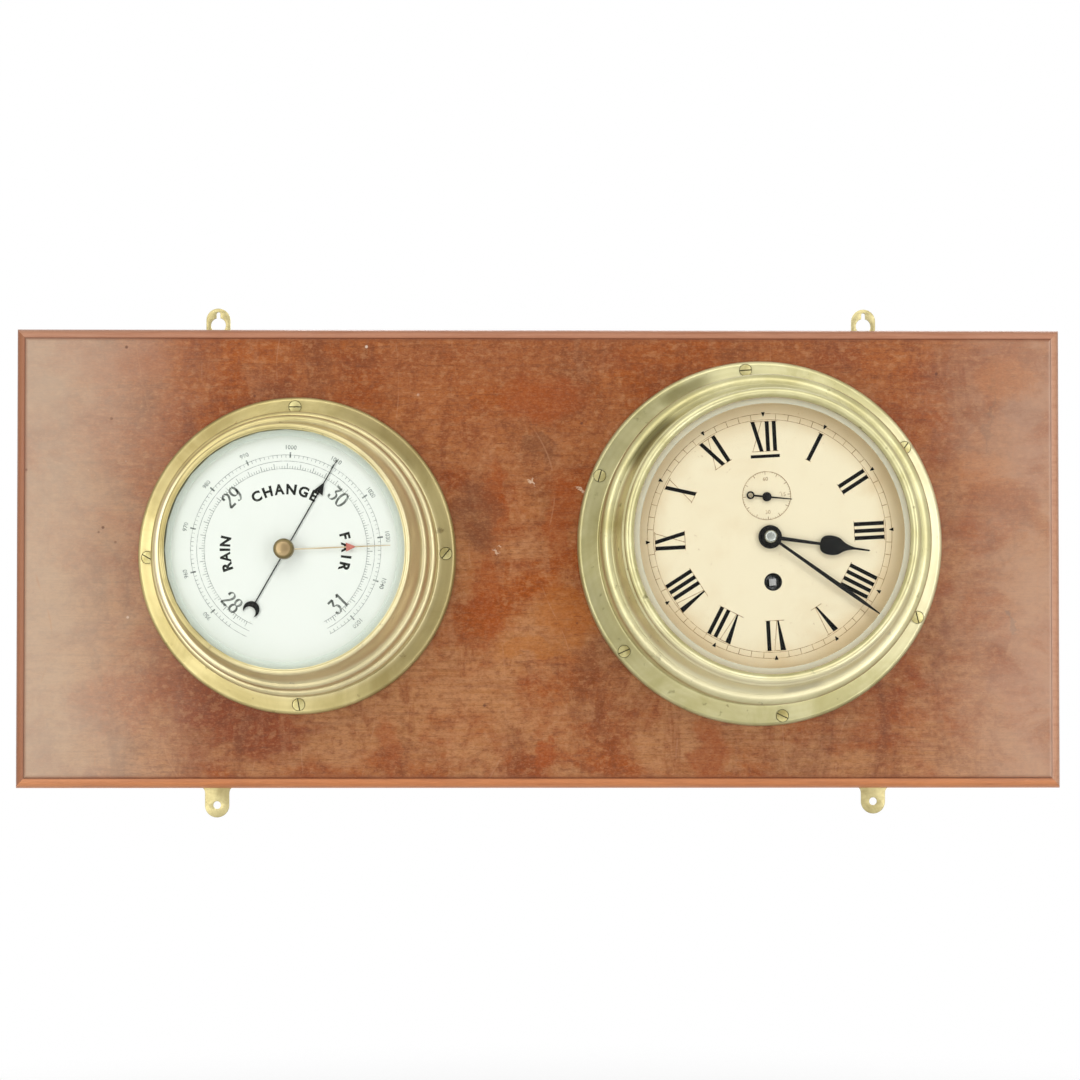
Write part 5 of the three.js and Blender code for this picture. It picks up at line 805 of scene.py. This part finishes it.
def pocket(x, way, half):
    """The room for a plate's tail in the board's back, open through the top or bottom edge, as a block."""
    end, past = way * (BOARD_HEIGHT / 2 - PLATE_TAIL - SEAT), way * (BOARD_HEIGHT / 2 + CUT_PAST)
    low, high = min(end, past), max(end, past)
    corners = np.array([[[x - half, low], [x + half, low], [x + half, high], [x - half, high]]])
    return bars(corners, -CUT_PAST, CUT_PAST + PLATE_RECESS + PLATE_GAUGE + SEAT)


def hanger_outlines():
    """A bar with a round head and foot, and the keyhole: a round entry that narrows to a slot above it."""
    half = PLATE_WIDTH / 2
    bar = path(arc((0, HANGER_RISE - half), half, 0, 180, 32),
               arc((0, half - PLATE_TAIL), half, 180, 360, 24))
    mouth = math.degrees(math.asin(SLOT_RADIUS / ENTRY_RADIUS))
    slot_top = HANGER_RISE - TIP_WALL - SLOT_RADIUS
    keyhole = path(arc((0, ENTRY_RADIUS), ENTRY_RADIUS, 90 + mouth, 450 - mouth, 36),
                   arc((0, slot_top), SLOT_RADIUS, 0, 180, 12))
    return [bar, keyhole]


def ear_outlines(drop):
    """A tongue with a round tip that flares to a square tail, and the round screw hole near its tip."""
    half = PLATE_WIDTH / 2
    wide = half + EAR_FLARE
    right = path(arc((0, half - drop), half, -90, 0, 18),
                 bend((half, -EAR_FLARE_DROP), (half, 0), (wide, 0), 8), (wide, PLATE_TAIL))
    left = right[:0:-1] * [-1, 1]
    return [path(right, left), arc((0, EAR_HOLE_EDGE - drop), EAR_HOLE, 0, 345, 23)]


def tail_screws(x, edge, way):
    """Two slotted heads that hold a plate's tail to the board, seen from behind."""
    heads = []
    for i, share in enumerate(TAIL_SCREWS):
        points, faces = screw_head(radius=2.9, face=0.0, crown=0.2, slot=0.7, sink=0.12, bottom=-0.5,
                                   shrink=0.92, degrees=35.0 + 60 * i + x)
        place = [x, edge - way * share * PLATE_TAIL, PLATE_RECESS - 0.05]
        heads.append((points * [-1, 1, -1] + place, faces))
    return joined(*heads)


def fit_plate(plate, screws, solid, outlines, x, way):
    """A plate let into the board's back at its top or bottom edge, and the screws of its tail."""
    edge = way * BOARD_HEIGHT / 2
    sheet = moved(cut_plate(outlines), x, edge)
    make_piece(plate, sheet, lay_on_board, PLATE_BRASS, ROOT, "plate_brass", solid)
    make_piece(screws, tail_screws(x, edge, way), lay_on_board, SCREW_BRASS, ROOT, "screw_brass")


board = make_piece("mahogany_board_moulded", board_block(), lay_on_board, MAHOGANY, ROOT, "mahogany",
                   "mahogany_board")
half_tail = PLATE_WIDTH / 2 + SEAT
cut_away(board, joined(*[pocket(x, 1, half_tail) for x in HANGER_X.values()],
                       *[pocket(x, -1, half_tail + EAR_FLARE) for x in EAR_X.values()]), lay_on_board)
for side, x in HANGER_X.items():
    fit_plate(f"keyhole_plate_{side}", f"hanger_screws_{side}", f"keyhole_hanger_{side}",
              hanger_outlines(), x, 1)
for side, x in EAR_X.items():
    fit_plate(f"screw_ear_plate_{side}", f"ear_screws_{side}", f"screw_ear_{side}",
              ear_outlines(EAR_DROP[side]), x, -1)


# Cases, bezels and glasses

def drum_profile(case):
    """Radius and height round a flanged drum: back, flange, wall, shoulder, neck, ledge and the inside."""
    face, wall, neck, shoulder, top = case.flange_face, case.wall, case.neck, case.shoulder, case.neck_top
    lip, inner_neck, inner_wall = neck - LEDGE_WIDTH, neck - CASE_WALL, wall - CASE_WALL
    ledge, roof = top - LEDGE_GAUGE, shoulder - CASE_WALL
    rim, brow = case.flange_edge, case.shoulder_edge
    return path((0, 0), (case.flange - 0.5, 0), (case.flange, 0.5),
                arc((case.flange - rim, face - rim), rim, 0, 90, 10),
                bend((wall + FOOT_FILLET, face), (wall, face), (wall, face + FOOT_FILLET), 4),
                arc((wall - brow, shoulder - brow), brow, 0, 90, 10), (neck, shoulder),
                *[(neck, h) for h in np.arange(shoulder + 0.5, top - 0.4, 0.25)], (neck - 0.4, top),
                (lip, top), (lip, ledge), (inner_neck, ledge), (inner_neck, roof), (inner_wall, roof),
                (inner_wall, CASE_BACK), (0, CASE_BACK))


def threaded(surface, neck, low, high):
    """A turned surface with a thread on its neck: the radius falls in a wave of height by pitch less turn."""
    points, faces = surface
    x, y, z = points.T
    r, a = np.hypot(x, y), np.arctan2(y, x)
    on_neck = (np.abs(r - neck) < 1e-6) & (z > low) & (z < high)
    wave = THREAD_DEPTH * (1 + np.cos(2 * np.pi * (z / THREAD_PITCH - a / (2 * np.pi)))) / 2
    k = np.where(on_neck, (r - wave) / np.maximum(r, 1e-9), 1.0)
    return np.stack([x * k, y * k, z], -1), faces


def sinks(places, face):
    """Countersinks for a flange's screws: cones and short walls at each place."""
    profile = np.array([[0, face - SCREW_SINK - 0.6], [SCREW_RADIUS * HEAD_TAPER, face - SCREW_SINK - 0.2],
                        [SCREW_RADIUS + 0.3, face - 1.0], [SCREW_RADIUS + 0.38, face + 3], [0, face + 3]])
    return joined(*[moved(turned(profile, 40), x, y) for x, y in places])


def node_centres(nodes, case):
    """Where small solids stand on their instrument's drawing, from the middles of their boxes."""
    boxes = np.array([[*low, *high] for low, high in map(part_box, nodes)]) / MM
    x, y = (boxes[:, 0] + boxes[:, 3]) / 2 - case.x, (boxes[:, 2] + boxes[:, 5]) / 2 - case.y
    c, s = math.cos(math.radians(case.lean)), math.sin(math.radians(case.lean))
    return np.stack([c * x + s * y, -s * x + c * y], -1)


def fit_case(case, drum, place, brass, screw_brass):
    """An instrument's drum case with its countersinks cut, and a slotted head in each of them."""
    name, face = case.name, case.flange_face
    solids = [f"{name}_flange_screw_{i + 1}" for i in range(case.screws)]
    places = node_centres(solids, case)
    cup = make_piece(f"{name}_drum_case", drum, place, brass, ROOT, f"{name}_brass", f"{name}_case")
    cut_away(cup, sinks(places, face), place)
    for i, (x, y) in enumerate(places):
        head = screw_head(SCREW_RADIUS, face - HEAD_RECESS, SCREW_CROWN, SCREW_SLOT, SLOT_SINK,
                          face - SCREW_SINK, HEAD_TAPER, i * SLOT_STEP)
        make_piece(f"{name}_slotted_screw_{i + 1}", moved(head, x, y), place, screw_brass, ROOT,
                   "screw_brass", solids[i])


def bezel_profile(case, outside):
    """A bezel's moulded outside, then its inner side: rim over the glass, rebate, and bore over the neck."""
    lid, ledge = case.glass_face + SEAT, case.neck_top + SEAT
    inside = path((case.sight, lid), (case.rebate, lid), (case.rebate, ledge), (case.bore, ledge),
                  (case.bore, case.shoulder + SEAT))
    return ease_corners(path(outside, inside), BEZEL_EASE)


def clock_moulding():
    """Foot, skirt, tall hollow cove, fillet and a round bead over the glass."""
    foot, low = CLOCK.foot, CLOCK.shoulder + SEAT
    return path((foot - 0.3, low), (foot, low + 0.3), (foot, 41.1), (foot - 0.3, 41.4),
                bend((foot - 0.5, 41.4), (80.1, 44.4), (79.0, 60.02), 22), (79.6, 60.02), (79.6, 61.12),
                (78.3, 61.9), arc((76.1, 65.65), 2.4, -35, 150, 20))


def barometer_moulding():
    """Foot, round ovolo, square groove, long hollow cove and a small bead over the glass."""
    foot, low = BARO.foot, BARO.shoulder + SEAT
    return path((foot - 0.3, low), (foot, low + 0.3), bend((foot, 23.9), (foot, 34.6), (72.6, 34.6), 14),
                (71.61, 34.6), (71.61, 35.6), bend((71.3, 35.9), (68.1, 39.5), (67.1, 55.48), 20),
                (66.95, 57.4), arc((65.5, 60.4), 1.5, -35, 150, 16))


def glass_profile(case):
    """A round of glass with a bevelled rim, and a hole at its centre where one is given."""
    edge, back, face, hole = case.glass_edge, case.glass_back, case.glass_face, case.glass_hole
    return path((hole, back), (edge - 0.15, back), (edge, back + 0.15), (edge, face - case.bevel_drop),
                (case.sight - case.bevel, face), (hole, face))


clock_drum = threaded(turned(drum_profile(CLOCK)), CLOCK.neck, CLOCK.shoulder + 1, CLOCK.neck_top - 0.6)
fit_case(CLOCK, clock_drum, on_clock, CLOCK_BRASS, CLOCK_SCREW_BRASS)
make_piece("clock_moulded_bezel", turned(bezel_profile(CLOCK, clock_moulding())), on_clock, CLOCK_BRASS,
           "screw_bezel", "clock_brass", "clock_bezel")
make_piece("clock_cover_glass", turned(glass_profile(CLOCK)), on_clock, CLOCK_GLASS, "screw_bezel", "glass",
           "clock_glass", crease=GLASS_CREASE)
ring = ease_corners(path((74.17, 61.25), (75.97, 61.25), (75.97, 62.65), (74.17, 62.65)), 0.4)
make_piece("clock_sprung_glass_ring", turned(ring), on_clock, CLOCK_BRASS, "bezel_slide", "clock_brass",
           "clock_glass_ring")

fit_case(BARO, turned(drum_profile(BARO)), on_barometer, BARO_BRASS, BARO_SCREW_BRASS)
make_piece("barometer_moulded_bezel", turned(bezel_profile(BARO, barometer_moulding())), on_barometer,
           BARO_BRASS, ROOT, "barometer_brass", "barometer_bezel")
make_piece("barometer_cover_glass", turned(glass_profile(BARO)), on_barometer, BARO_GLASS, ROOT, "glass",
           "barometer_glass", crease=GLASS_CREASE)


# Hands

def boss(radius, bore, back, gauge):
    """A flat boss with an eased edge and a bore."""
    profile = path((bore, back), (radius - 0.1, back), (radius, back + 0.1), (radius, back + 0.6 * gauge),
                   (radius - 0.35, back + gauge), (bore, back + gauge))
    return turned(profile, SMALL_SIDES)


def arrow_head(reach, length, half, sweep, back):
    """A swallow-tailed head: rows from barbs to tip, each narrower, its sides swept back by distance out."""
    t = np.linspace(0, 1, 7)[:, None]
    u = np.array([-1, -0.5, 0, 0.5, 1])[None, :]
    x, y = u * half * (1 - t), reach + length * t - sweep * np.abs(u) * (1 - t)
    top = np.stack([x, y, back + NEEDLE_GAUGE * (1 - 0.45 * np.abs(u)) + 0 * t], -1)
    under = np.stack([x, y, back + 0 * u + 0 * t], -1)[:, ::-1]
    return along_loop(np.concatenate([top, under], 1))


def hour_blade():
    """Half the width of the spade hand along its length: stem, round spade, hollow throat, long point."""
    stem, half, start, centre, throat, point = 1.1, 5.2, 26.9, 32.7, 38.4, 46.0
    return path((stem, 4.0), (0.77, start - 1), bend((0.77, start), (half, start), (half, centre), 14),
                bend((half, centre), (half, centre + 3.8), (3.5, throat), 10)[1:],
                bend((3.5, throat), (1.1, throat + 2.9), (0.6, point), 10)[1:], (0.42, 53.4), (0.05, 53.8))


def seconds_parts():
    """A tapered blade, a ring for its counterpoise and a domed boss over the arbor's end."""
    back = SECONDS_BACK
    ring = turned(path((1.3, back), (2.15, back), (2.15, back + 0.5), (1.3, back + 0.5)), 32)
    dome = path((0.8, back), (2.4, back), (2.5, back + 0.3), bend((2.4, back + 0.6), (1.2, back + 1.0),
                (0, back + 1.0), 6), (0, back + 0.8), (0.8, back + 0.8))
    needle = blade(path((0.5, -6.9), (0.5, 0), (0.26, 13.4)), back, HAND_GAUGE)
    return joined(needle, moved(ring, 0, -8.8), turned(dome, SMALL_SIDES))


def nut_profile():
    """A round nut with a domed top that closes over the arbor's end."""
    back = NUT_BACK
    return path((1.3, back), (3.3, back), (3.4, back + 0.1), bend((3.4, back + 0.9), (3.3, back + 2.0),
                (1.9, back + 2.1), 8), (0, back + 2.2), (0, back + 2.1), (1.3, back + 2.0))


def knob_profile():
    """A spindle through the glass, a flat foot, a round side and a low dome."""
    return path((0, SET_BACK - SEAT), (1.2, SET_BACK - SEAT), (1.2, 61.0), (4.6, 61.0),
                bend((4.8, 61.05), (5.55, 61.3), (5.55, 62.4), 5),
                bend((5.55, 63.4), (5.45, 66.4), (4.0, 66.5), 10),
                bend((3.8, 66.45), (2.0, 67.0), (0, 67.0), 8))


hour_hand = joined(blade(hour_blade(), HOUR_BACK, HAND_GAUGE), boss(6.3, 3.2, HOUR_BACK, HAND_GAUGE))
make_piece("spade_hour_hand", swung(hour_hand, HOUR_ANGLE), on_clock, BLACK_LACQUER, "hour_hand_on_wheel",
           "black_hands", "hour_hand")
lance = path((0.75, 2.2), (0.8, 14.0), (1.15, 47.0), (0.95, 60.3), (0.16, 73.5))
minute_hand = joined(blade(lance, MINUTE_BACK, HAND_GAUGE), boss(4.6, 2.2, MINUTE_BACK, HAND_GAUGE))
make_piece("tapered_minute_hand", swung(minute_hand, MINUTE_ANGLE), on_clock, BLACK_LACQUER,
           "minute_hand_on_cannon", "black_hands", "minute_hand")
make_piece("ringed_seconds_hand", swung(seconds_parts(), SECONDS_ANGLE, (0, SECONDS_RISE)), on_clock,
           BLACK_LACQUER, "fourth_wheel_with_seconds", "black_hands", "seconds_hand")
make_piece("domed_hand_nut", turned(nut_profile(), SMALL_SIDES), on_clock, NUT_STEEL, "minute_hand_on_cannon",
           "steel", "hand_nut")

crescent = slab(arc((0, -38.6), 3.3, -19.8, 199.8, 30), arc((0, -36.6), 4.4, -45.1, 225.1, 30), PRESSURE_BACK,
                NEEDLE_GAUGE * 0.9)
needle = blade(path((0.3, -33.5), (0.3, 36.5), (0.18, 55.4)), PRESSURE_BACK, NEEDLE_GAUGE)
arrow = arrow_head(36.4, length=5.0, half=2.8, sweep=1.7, back=PRESSURE_BACK)
pressure_hand = joined(needle, crescent, arrow, boss(BOSS_RADIUS, 1.0, PRESSURE_BACK, NEEDLE_GAUGE))
make_piece("black_pressure_hand", swung(pressure_hand, PRESSURE_ANGLE), on_barometer, BLACK_LACQUER,
           "pressure_hand_on_arbor", "black_hands", "pressure_hand")
needle = blade(path((0.36, 1.0), (0.36, 36.5), (0.2, 56.0)), SET_BACK, NEEDLE_GAUGE)
set_hand = joined(needle, boss(BOSS_RADIUS, 1.3, SET_BACK, NEEDLE_GAUGE))
make_piece("brass_set_hand", swung(set_hand, SET_ANGLE), on_barometer, POINTER_BRASS, "set_hand_on_knob",
           "barometer_brass", "set_hand")
red_arrow = arrow_head(32.6, length=5.2, half=2.4, sweep=0.3, back=SET_BACK + INK_LIFT)
make_piece("red_set_arrow", swung(red_arrow, SET_ANGLE), on_barometer, RED_LACQUER, "set_hand_on_knob",
           "barometer_brass")
make_piece("domed_set_knob", turned(knob_profile(), 64), on_barometer, KNOB_BRASS, "set_hand_on_knob",
           "barometer_brass", "set_knob")


# Clock dial: minute track, hour numerals, seconds ring and winding hole

FACE = CLOCK_DIAL_FACE + INK_LIFT
PRINT_OFF = (0.07, 0.7)  # the print sits a little off the pivot
PRINT_TURN = 1.2  # degrees clockwise, the hours against the case
NUMERAL_LOW, NUMERAL_HIGH, THICK, HAIRLINE = 45.4, 61.4, 2.1, 0.35
TRACK_INNER, TRACK_OUTER, MINUTE_WIDTH = 62.3, 65.5, 0.34
SECONDS_RING, SECONDS_NUMBERS = 12.9, 8.9
ADVANCE = {"I": 3.75, "V": 7.0, "X": 7.2}  # room along the dial for each letter
HOURS = ["XII", "I", "II", "III", "IIII", "V", "VI", "VII", "VIII", "IX", "X", "XI"]


def slant(x_low, x_high, low, high, width, foot=1.0):
    """A straight stroke between two radii as four corners, with its foot a share of its width."""
    half, low_half = width / 2, width * foot / 2
    return [[x_low - low_half, low], [x_high - half, high], [x_high + half, high], [x_low + low_half, low]]


def numeral_strokes(numeral):
    """Thick and thin strokes of one Roman numeral, set side by side about x = 0 between two radii."""
    x = -sum(ADVANCE[letter] for letter in numeral) / 2
    thick, thin = [], []
    for letter in numeral:
        wide = ADVANCE[letter]
        left, middle, right = x + 1.4, x + wide / 2, x + wide - 1.0
        if letter == "I":
            thick.append(slant(middle, middle, NUMERAL_LOW, NUMERAL_HIGH, THICK))
        elif letter == "V":
            thick.append(slant(middle, left, NUMERAL_LOW, NUMERAL_HIGH, 1.4 * THICK, 0.28))
            thin.append(slant(middle + 0.6, right, NUMERAL_LOW, NUMERAL_HIGH, HAIRLINE))
        else:
            thick.append(slant(right - 0.6, left, NUMERAL_LOW, NUMERAL_HIGH, THICK))
            thin.append(slant(left - 0.6, right, NUMERAL_LOW, NUMERAL_HIGH, HAIRLINE))
        for radius in (NUMERAL_LOW, NUMERAL_HIGH):
            thin.append(slant(middle, middle, radius - HAIRLINE / 2, radius + HAIRLINE / 2, wide - 0.3))
        x += wide
    return thick, thin


def round_dial(strokes_by_hour):
    """Strokes drawn at twelve for each hour, turned to their hours, with their feet to the centre."""
    placed = []
    for hour, strokes in enumerate(strokes_by_hour):
        a = math.radians(30 * hour)
        placed.append(np.array(strokes) @ [[math.cos(a), -math.sin(a)], [math.sin(a), math.cos(a)]])
    return np.concatenate(placed)


def seconds_print():
    """The seconds ring with its marks and four small numbers, about its own centre."""
    numbers = []
    for text, degrees in (("60", 0), ("15", 90), ("30", 180), ("45", 270)):
        a = math.radians(degrees)
        number = lettering(text, size=2.9, boldness=0.0, back=FACE)
        numbers.append(moved(number, SECONDS_NUMBERS * math.sin(a), SECONDS_NUMBERS * math.cos(a)))
    return joined(ring_line(SECONDS_RING, 0.32, FACE, steps=96),
                  bars(spokes(np.arange(0, 360, 30), 11.2, SECONDS_RING, 0.35), FACE),
                  bars(spokes(np.arange(0, 360, 6), 12.2, SECONDS_RING, 0.2), FACE), *numbers)


thick, thin = (round_dial(strokes) for strokes in zip(*map(numeral_strokes, HOURS)))
foot_line = np.array([slant(0.0, 0.0, 41.9, 43.6, 15.6)])
hour_marks = round_dial([[[[-0.2, 64.2], [-1.0, 66.4], [1.0, 66.4], [0.2, 64.2]]]] * 12)
bold_print = swung(bars(np.concatenate([thick, foot_line, hour_marks]), FACE + 0.01), PRINT_TURN)
make_piece("clock_hour_numerals", moved(bold_print, *PRINT_OFF), on_clock, BLACK_INK, ROOT, "black_hands")
minutes = np.delete(np.arange(60), np.arange(0, 60, 5)) * 6.0
minute_marks = spokes(minutes, TRACK_INNER, TRACK_OUTER, MINUTE_WIDTH)
fine_print = joined(swung(bars(np.concatenate([thin, minute_marks]), FACE), PRINT_TURN),
                    ring_line(TRACK_OUTER, 0.3, FACE), ring_line(TRACK_INNER, 0.26, FACE),
                    moved(seconds_print(), 0, SECONDS_RISE))
make_piece("clock_minute_track", moved(fine_print, *PRINT_OFF), on_clock, FADED_INK, ROOT, "black_hands")
# A black collar round the winding hole; its tube down the hole is a dark lining that stands in for the shade
# inside the hole
collar = turned(path((3.95, CLOCK_DIAL_FACE - 9), (4.45, CLOCK_DIAL_FACE - 9), (4.45, FACE), (4.75, FACE),
                     (4.75, FACE + 0.12), (4.35, FACE + 0.2), (3.95, FACE)), SMALL_SIDES)
make_piece("winding_hole_collar", moved(collar, 0, -WINDING_DROP), on_clock, BLACK_LACQUER, ROOT,
           "black_hands")


# Barometer dial: two scales, inch numbers, pressure numbers and weather words

PAPER = BARO_DIAL_FACE + INK_LIFT
INCH_TURN, MIDDLE_INCH = 90.0, 29.5  # degrees for an inch, and the inch at the top
MILLIBAR_TURN, MIDDLE_MILLIBAR = 2.6577, 999.0
SCALE_START, SCALE_END = -156, 152
UNIT_RADIUS, HUNDREDTH_RADIUS, BETWEEN_RADIUS = 50.7, 43.4, 47.4
NUMBER_RADIUS, NUMBER_HEIGHT, WORD_RADIUS, WORD_HEIGHT = 40.0, 8.4, 32.1, 7.4
PRESSURE_RADIUS, PRESSURE_HEIGHT, SCALE_LINE, SCALE_MARK = 54.7, 3.2, 0.2, 0.22
WEATHER = {"RAIN": (-93.7, 1.155), "CHANGE": (-1.5, 1.285), "FAIR": (91.5, 1.5)}  # degrees, spread of letters


def oval(x, y, half_x, half_y):
    """Thirteen points round an oval, clockwise from its top and back to it."""
    a = np.linspace(0, 2 * np.pi, 13)
    return np.stack([x + half_x * np.sin(a), y + half_y * np.cos(a)], -1)


# Strokes of the inch numbers in shares of their height: round ones, then straight ones of an even width
DIGITS = {
    "0": [oval(0.27, 0.5, 0.22, 0.48)],
    "1": [[(0.12, 0.84), (0.22, 0.92), (0.27, 1.0)], [(0.27, 1.0), (0.27, 0.5), (0.27, 0.0)],
          [(0.12, 0.01), (0.27, 0.02), (0.42, 0.01)]],
    "2": [[(0.09, 0.72), (0.11, 0.88), (0.27, 0.99), (0.44, 0.9), (0.47, 0.72), (0.36, 0.5), (0.18, 0.26),
           (0.05, 0.06)]],
    "3": [[(0.45, 0.93), (0.34, 0.74), (0.23, 0.56)],
          [(0.23, 0.56), (0.43, 0.48), (0.49, 0.28), (0.38, 0.06), (0.2, 0.01), (0.08, 0.14)]],
    "8": [oval(0.27, 0.76, 0.17, 0.23), oval(0.27, 0.27, 0.21, 0.26)],
    "9": [oval(0.26, 0.7, 0.2, 0.29), [(0.46, 0.7), (0.46, 0.45), (0.38, 0.18), (0.22, 0.02), (0.08, 0.1)]],
}
FLAT_STROKES = {"2": [[(0.05, 0.07), (0.47, 0.07)], [(0.1, 0.69), (0.1, 0.81)]],
                "3": [[(0.09, 0.93), (0.46, 0.93)], [(0.1, 0.1), (0.1, 0.22)]]}


def inch_number(number, degrees, radius):
    """A two-figure number in thick and thin pen strokes, set square to its radius."""
    strokes, size = [], NUMBER_HEIGHT
    for i, digit in enumerate(str(number)):
        shift = [0.63 * (i - 1), -0.5]
        for line in DIGITS[digit]:
            curve = (smooth_through(line) + shift) * size
            strokes.append(pen_stroke(curve, 0.15 * size, 0.035 * size, PAPER))
        for line in FLAT_STROKES.get(digit, []):
            strokes.append(pen_stroke((path(*line) + shift) * size, 0.14 * size, 0.14 * size, PAPER))
    return swung(moved(joined(*strokes), 0, radius), degrees)


upper = [inch_number(n, (n - MIDDLE_INCH) * INCH_TURN, NUMBER_RADIUS) for n in (29, 30)]
lower = [inch_number(n, (n - MIDDLE_INCH) * INCH_TURN + 180, -NUMBER_RADIUS) for n in (28, 31)]
make_piece("barometer_inch_numbers", joined(*upper, *lower), on_barometer, NUMBER_INK, ROOT, "black_hands")
words = [bowed(lettering(word, WORD_HEIGHT, 0.29, PAPER, spread), WORD_RADIUS, turn)
         for word, (turn, spread) in WEATHER.items()]
make_piece("barometer_weather_words", joined(*words), on_barometer, WORD_INK, ROOT, "black_hands")
tens = np.arange(950, 1060, 10)
ten_turns = (tens - MIDDLE_MILLIBAR) * MILLIBAR_TURN
unit_turns = (np.arange(945, 1057) - MIDDLE_MILLIBAR) * MILLIBAR_TURN
hundredth_turns = np.arange(-152, 152.1, 1.8)
circles = [ring_line(radius, SCALE_LINE, PAPER, SCALE_START, SCALE_END)
           for radius in (UNIT_RADIUS, BETWEEN_RADIUS, HUNDREDTH_RADIUS)]
scale_marks = [bars(spokes(*marks), PAPER) for marks in (
    (unit_turns, 49.2, UNIT_RADIUS, SCALE_MARK), (ten_turns, 49.2, 52.2, 0.8),
    (hundredth_turns, HUNDREDTH_RADIUS, 44.8, SCALE_MARK),
    (hundredth_turns[::5], HUNDREDTH_RADIUS, 46.2, 0.26))]
pressures = [bowed(lettering(str(n), PRESSURE_HEIGHT, 0.03, PAPER), PRESSURE_RADIUS, turn)
             for n, turn in zip(tens, ten_turns)]
make_piece("barometer_scales", joined(*circles, *scale_marks, *pressures), on_barometer, GREY_INK, ROOT,
           "black_hands")


# Finishes of the solids that stay as they are

KEPT = {
    "clock_dial": CREAM_PAINT, "barometer_dial": WHITE_PAINT, "aneroid_capsule": CAPSULE_METAL,
    "winding_arbor": ARBOR_STEEL,
    **dict.fromkeys(["back_plate", "front_plate", "mainspring_barrel", "centre_wheel", "third_wheel",
                     "fourth_wheel", "intermediate_wheel", "minute_wheel", "hour_wheel", "balance_wheel",
                     "aneroid_base", "main_lever", "arbor_bridge"], WORKS_BRASS),
    **dict.fromkeys(["mainspring", "ratchet_wheel", "click", "cannon_pinion", "escape_wheel", "click_spring",
                     "pallet_lever", "hairspring", "capsule_spring", "rocking_bar", "pointer_arbor",
                     "pointer_chain"], WORKS_STEEL),
}
for name, finish in KEPT.items():
    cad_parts[name].data.materials.clear()
    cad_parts[name].data.materials.append(finish)


# Floor, light and camera

def pale_floor():
    """A wide flat floor well below the hanging board, pale with a faint grain, that fades out far from it."""
    finish, shader, spot = start_finish("pale_floor")
    colour = shade(between(cloud(spot, 60.0, 3.0, 0.5), 0.3, 0.7), tone(250, 250, 249), tone(247, 247, 246))
    away = vector("LENGTH", stretch(spot, (1, 1, 0)))
    feed(shader, Base_Color=colour, Roughness=0.9, Specular_IOR_Level=0.1)
    feed(shader, Alpha=between(away, 0.6, 1.9, 1.0, 0.0))
    mesh = bpy.data.meshes.new("pale_floor")
    mesh.from_pydata([(-2, -2, -0.6), (2, -2, -0.6), (2, 2, -0.6), (-2, 2, -0.6)], [], [(0, 1, 2, 3)])
    mesh.materials.append(finish)
    floor = bpy.data.objects.new("pale_floor", mesh)
    bpy.context.scene.collection.objects.link(floor)


def soft_lamp(name, place, target, width, height, power, tint=(1.0, 1.0, 1.0)):
    """A large soft lamp at a place, turned to a target."""
    data = bpy.data.lights.new(name, "AREA")
    data.shape, data.size, data.size_y, data.energy, data.color = "RECTANGLE", width, height, power, tint
    lamp = bpy.data.objects.new(name, data)
    away = np.array(place) - np.array(target)
    away = away / np.linalg.norm(away)
    lamp.location = place
    lamp.rotation_euler = (math.acos(away[2]), 0.0, math.atan2(away[1], away[0]) + math.pi / 2)
    bpy.context.scene.collection.objects.link(lamp)


def studio_world():
    """White all round for what is seen or mirrored, dimmer towards the viewer's side, and a soft fill."""
    world = bpy.data.worlds.new("studio")
    bpy.context.scene.world = world
    world.use_nodes = True
    tree = world.node_tree
    ray = add(tree, "ShaderNodeLightPath")
    way = add(tree, "ShaderNodeTexCoord")["Generated"]
    aside = between(maths("ABSOLUTE", part(way, "X")), 0.0, 0.24, 0.4, 1.0)
    room = maths("MAXIMUM", aside, between(part(way, "Y"), -0.9, -0.4, 0.0, 1.0))
    seen = maths("MAXIMUM", ray["Is Camera Ray"], ray["Is Transmission Ray"])
    level = maths("MAXIMUM", maths("MAXIMUM", seen, times(ray["Is Glossy Ray"], room)), 0.3)
    ground = tree.nodes["Background"]
    plug(level, ground.inputs["Strength"])
    plug((1, 1, 1, 1), ground.inputs["Color"])


pale_floor()
studio_world()
# Lamps: place and target in metres, width, height, power and tint
soft_lamp("left_softbox", (-0.84, -1.2, 0.1), (-0.84, 0, 0.1), 0.64, 1.2, 6.5, (1.0, 0.99, 0.97))
soft_lamp("right_softbox", (0.86, -1.2, 0.1), (0.86, 0, 0.1), 0.64, 1.2, 6, (0.94, 0.95, 1.0))
soft_lamp("top_softbox", (0.0, -1.3, 1.1), (0, 0, 0), 1.6, 0.8, 8.5)
soft_lamp("low_softbox", (0.1, -1.25, -0.42), (0, 0, 0), 1.5, 0.3, 2.2)
soft_lamp("back_fill", (0.3, 1.6, 0.9), (0, 0, 0), 1.4, 1.0, 14)

camera_data = bpy.data.cameras.new("photo_camera")
camera_data.lens, camera_data.sensor_width = 69.35, 36.0
camera_data.shift_x, camera_data.shift_y = -0.0188, 0.1001
camera = bpy.data.objects.new("photo_camera", camera_data)
camera.location = (0.0007, -1.1831, -0.0688)
camera.rotation_euler = (math.radians(90.9), 0.0, math.radians(-0.55))
bpy.context.scene.collection.objects.link(camera)
bpy.context.scene.camera = camera
bpy.context.scene.view_settings.view_transform = "Standard"
